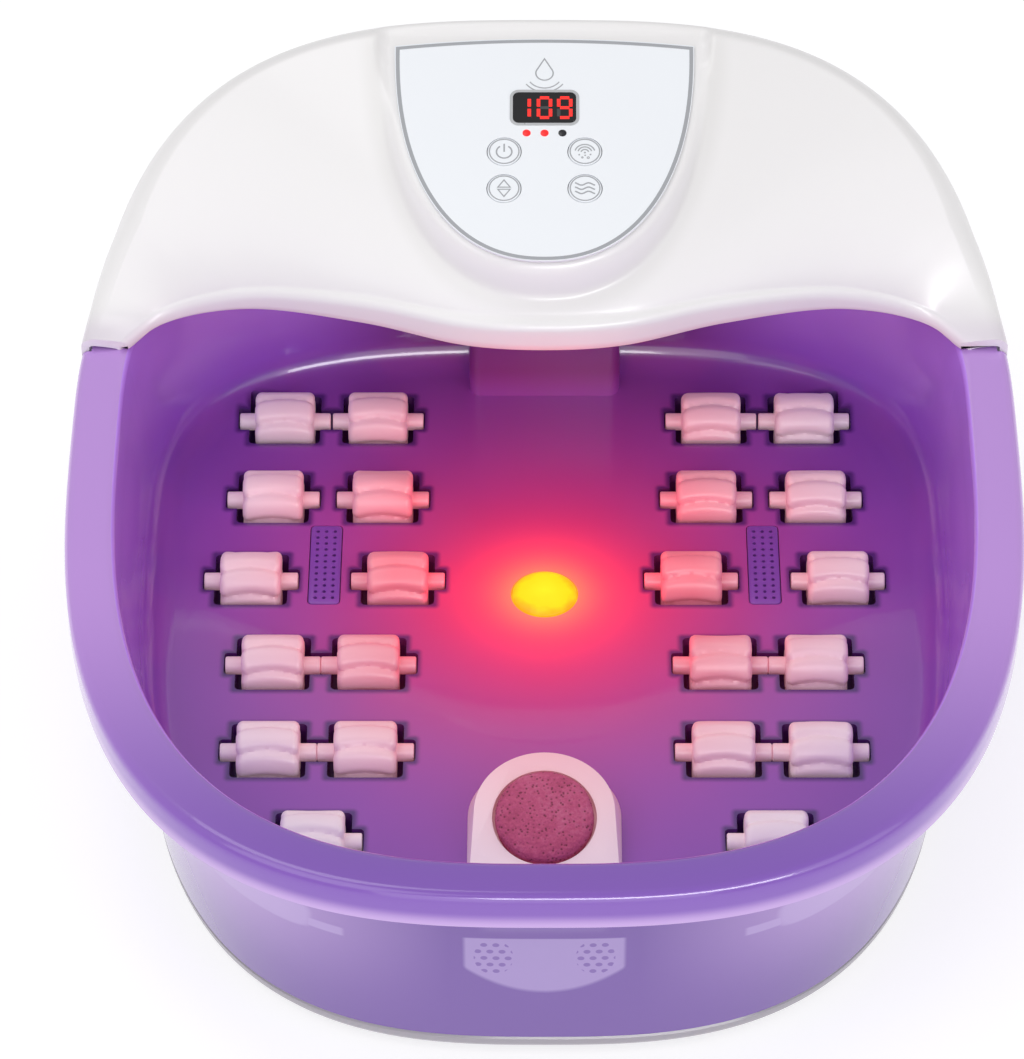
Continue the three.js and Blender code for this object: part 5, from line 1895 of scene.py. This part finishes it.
class FOOTSPA_OT_hidden(bpy.types.Operator):
    """Give the pieces out of sight their finishes"""

    bl_idname = "footspa.hidden"
    bl_label = "Hidden pieces"

    def execute(self, context):
        white = shell_finish("inner_white", (0.80, 0.79, 0.81), 0.4)
        rubber = plain_finish("pad_rubber", (0.035, 0.035, 0.038), 0.75, grain=240.0)
        zinc = plain_finish("screw_zinc", (0.62, 0.63, 0.65), 0.3, 1.0, grain=900.0, spread=0.3)
        board = plain_finish("board_green", (0.02, 0.16, 0.06), 0.45, grain=500.0, spread=0.5)
        black = plain_finish("case_black", (0.02, 0.02, 0.023), 0.45, grain=300.0)
        bright = plain_finish(
            "plate_bright", (0.72, 0.72, 0.74), 0.35, 1.0, grain=160.0, spread=0.3
        )
        hose = plain_finish("hose_clear", (0.55, 0.56, 0.58), 0.35, grain=90.0, spread=0.35)
        wire = plain_finish("wire_red", (0.35, 0.02, 0.02), 0.4, grain=180.0, spread=0.3)
        finishes = {
            "hood_liner": white,
            "rear_cover": white,
            "motor_clamp": white,
            "blower_impeller": white,
            "cord_gland": rubber,
            "display_module": black,
            "thermostat": black,
            "blower_case": black,
            "control_board": board,
            "light_board": board,
            "heater_plate": bright,
            "vibration_motor": zinc,
            "blower_motor": zinc,
            "vibration_weight": zinc,
            "air_hose": hose,
            "wire_harness": wire,
        }
        for end in ("front_left", "rear_left", "front_right", "rear_right"):
            finishes["foot_pad_" + end] = rubber
        for i in range(1, 5):
            finishes[f"base_screw_{i}"] = zinc
        for name, material in finishes.items():
            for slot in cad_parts[name].material_slots:
                slot.material = material
        return {"FINISHED"}


class FOOTSPA_OT_stage(bpy.types.Operator):
    """Make the floor, the lights and the camera"""

    bl_idname = "footspa.stage"
    bl_label = "Stage"

    def execute(self, context):
        self.floor(context)
        self.lights(context)
        self.camera(context)
        return {"FINISHED"}

    def floor(self, context):
        ground = piece(
            "studio_floor", [(-6, -6, 0), (6, -6, 0), (6, 6, 0), (-6, 6, 0)], [(0, 1, 2, 3)]
        )
        material, graph, feed = finish(
            "studio_paper", {"Roughness": 0.9, "Emission Strength": 0.62}
        )
        where = graph.place()[0]
        paper = graph.mix(graph.noise(where, 1.5) * 0.1, (0.50, 0.50, 0.505), (0.48, 0.48, 0.49))
        feed(Base_Color=paper, Emission_Color=graph.scaled(paper, 2.0))
        ground.data.materials.append(material)

    def lights(self, context):
        world = bpy.data.worlds.new("studio")
        context.scene.world = world
        world.use_nodes = True
        background = world.node_tree.nodes["Background"]
        background.inputs["Color"].default_value = (1.0, 1.0, 1.0, 1.0)
        background.inputs["Strength"].default_value = 0.59
        self.area(context, "key", (-0.9, -0.9, 1.6), (1.3, 1.3), 7)
        self.area(context, "fill", (1.2, -0.8, 1.2), (1.2, 1.2), 4)
        self.area(context, "front", (0.0, -1.9, 0.75), (1.4, 1.4), 8)
        self.area(context, "top", (-0.5, 0.4, 1.9), (0.8, 0.8), 4)
        self.area(context, "edge", (0.45, -1.35, 1.10), (1.2, 0.30), 13).visible_diffuse = False
        lamp = bpy.data.lights.new("lamp_light", "POINT")
        lamp.energy = 0.10
        lamp.color = (1.0, 0.05, 0.06)
        lamp.shadow_soft_size = 0.012
        holder = bpy.data.objects.new("lamp_light", lamp)
        holder.location = (0, context.scene.spa_fittings.lamp_y, 0.066)
        holder.visible_glossy = False
        context.collection.objects.link(holder)

    def area(self, context, name, place, size, power):
        light = bpy.data.lights.new(name, "AREA")
        light.shape = "RECTANGLE"
        light.size, light.size_y = size
        light.energy = power
        holder = bpy.data.objects.new(name, light)
        holder.location = place
        aim = Vector((0, 0, 0.08)) - Vector(place)
        holder.rotation_euler = aim.to_track_quat("-Z", "Y").to_euler()
        context.collection.objects.link(holder)
        return holder

    def camera(self, context):
        camera = bpy.data.cameras.new("view")
        camera.lens = 177.1
        camera.sensor_width = 36.0
        camera.shift_x = -0.0307
        camera.shift_y = 0.0378
        camera.clip_end = 50
        holder = bpy.data.objects.new("view", camera)
        elevation = math.radians(43)
        holder.location = (0, -2.0 * math.cos(elevation), 0.09 + 2.0 * math.sin(elevation))
        holder.rotation_euler = (math.pi / 2 - elevation, 0, 0)
        context.collection.objects.link(holder)
        context.scene.camera = holder
        context.scene.view_settings.view_transform = "Standard"


OPERATORS = [
    FOOTSPA_OT_tub,
    FOOTSPA_OT_pan,
    FOOTSPA_OT_hood,
    FOOTSPA_OT_label,
    FOOTSPA_OT_display,
    FOOTSPA_OT_keys,
    FOOTSPA_OT_rollers,
    FOOTSPA_OT_fittings,
    FOOTSPA_OT_pumice,
    FOOTSPA_OT_hidden,
    FOOTSPA_OT_stage,
]


class FOOTSPA_PT_panel(bpy.types.Panel):
    """The add-on's panel in the sidebar"""

    bl_idname = "FOOTSPA_PT_panel"
    bl_label = "Foot spa"
    bl_space_type = "VIEW_3D"
    bl_region_type = "UI"
    bl_category = "Foot spa"

    def draw(self, context):
        for name, group in GROUPS.items():
            box = self.layout.box()
            for prop in group.__annotations__:
                box.prop(getattr(context.scene, name), prop)
        for operator in OPERATORS:
            self.layout.operator(operator.bl_idname)


def register():
    for kind in (*GROUPS.values(), *OPERATORS, FOOTSPA_PT_panel):
        bpy.utils.register_class(kind)
    for name, group in GROUPS.items():
        setattr(bpy.types.Scene, name, PointerProperty(type=group))


def unregister():
    for name in GROUPS:
        delattr(bpy.types.Scene, name)
    for kind in reversed((*GROUPS.values(), *OPERATORS, FOOTSPA_PT_panel)):
        bpy.utils.unregister_class(kind)


def main():
    register()
    for operator in OPERATORS:
        name = operator.bl_idname.split(".")[1]
        getattr(bpy.ops.footspa, name)()


if __name__ == "__main__":
    main()
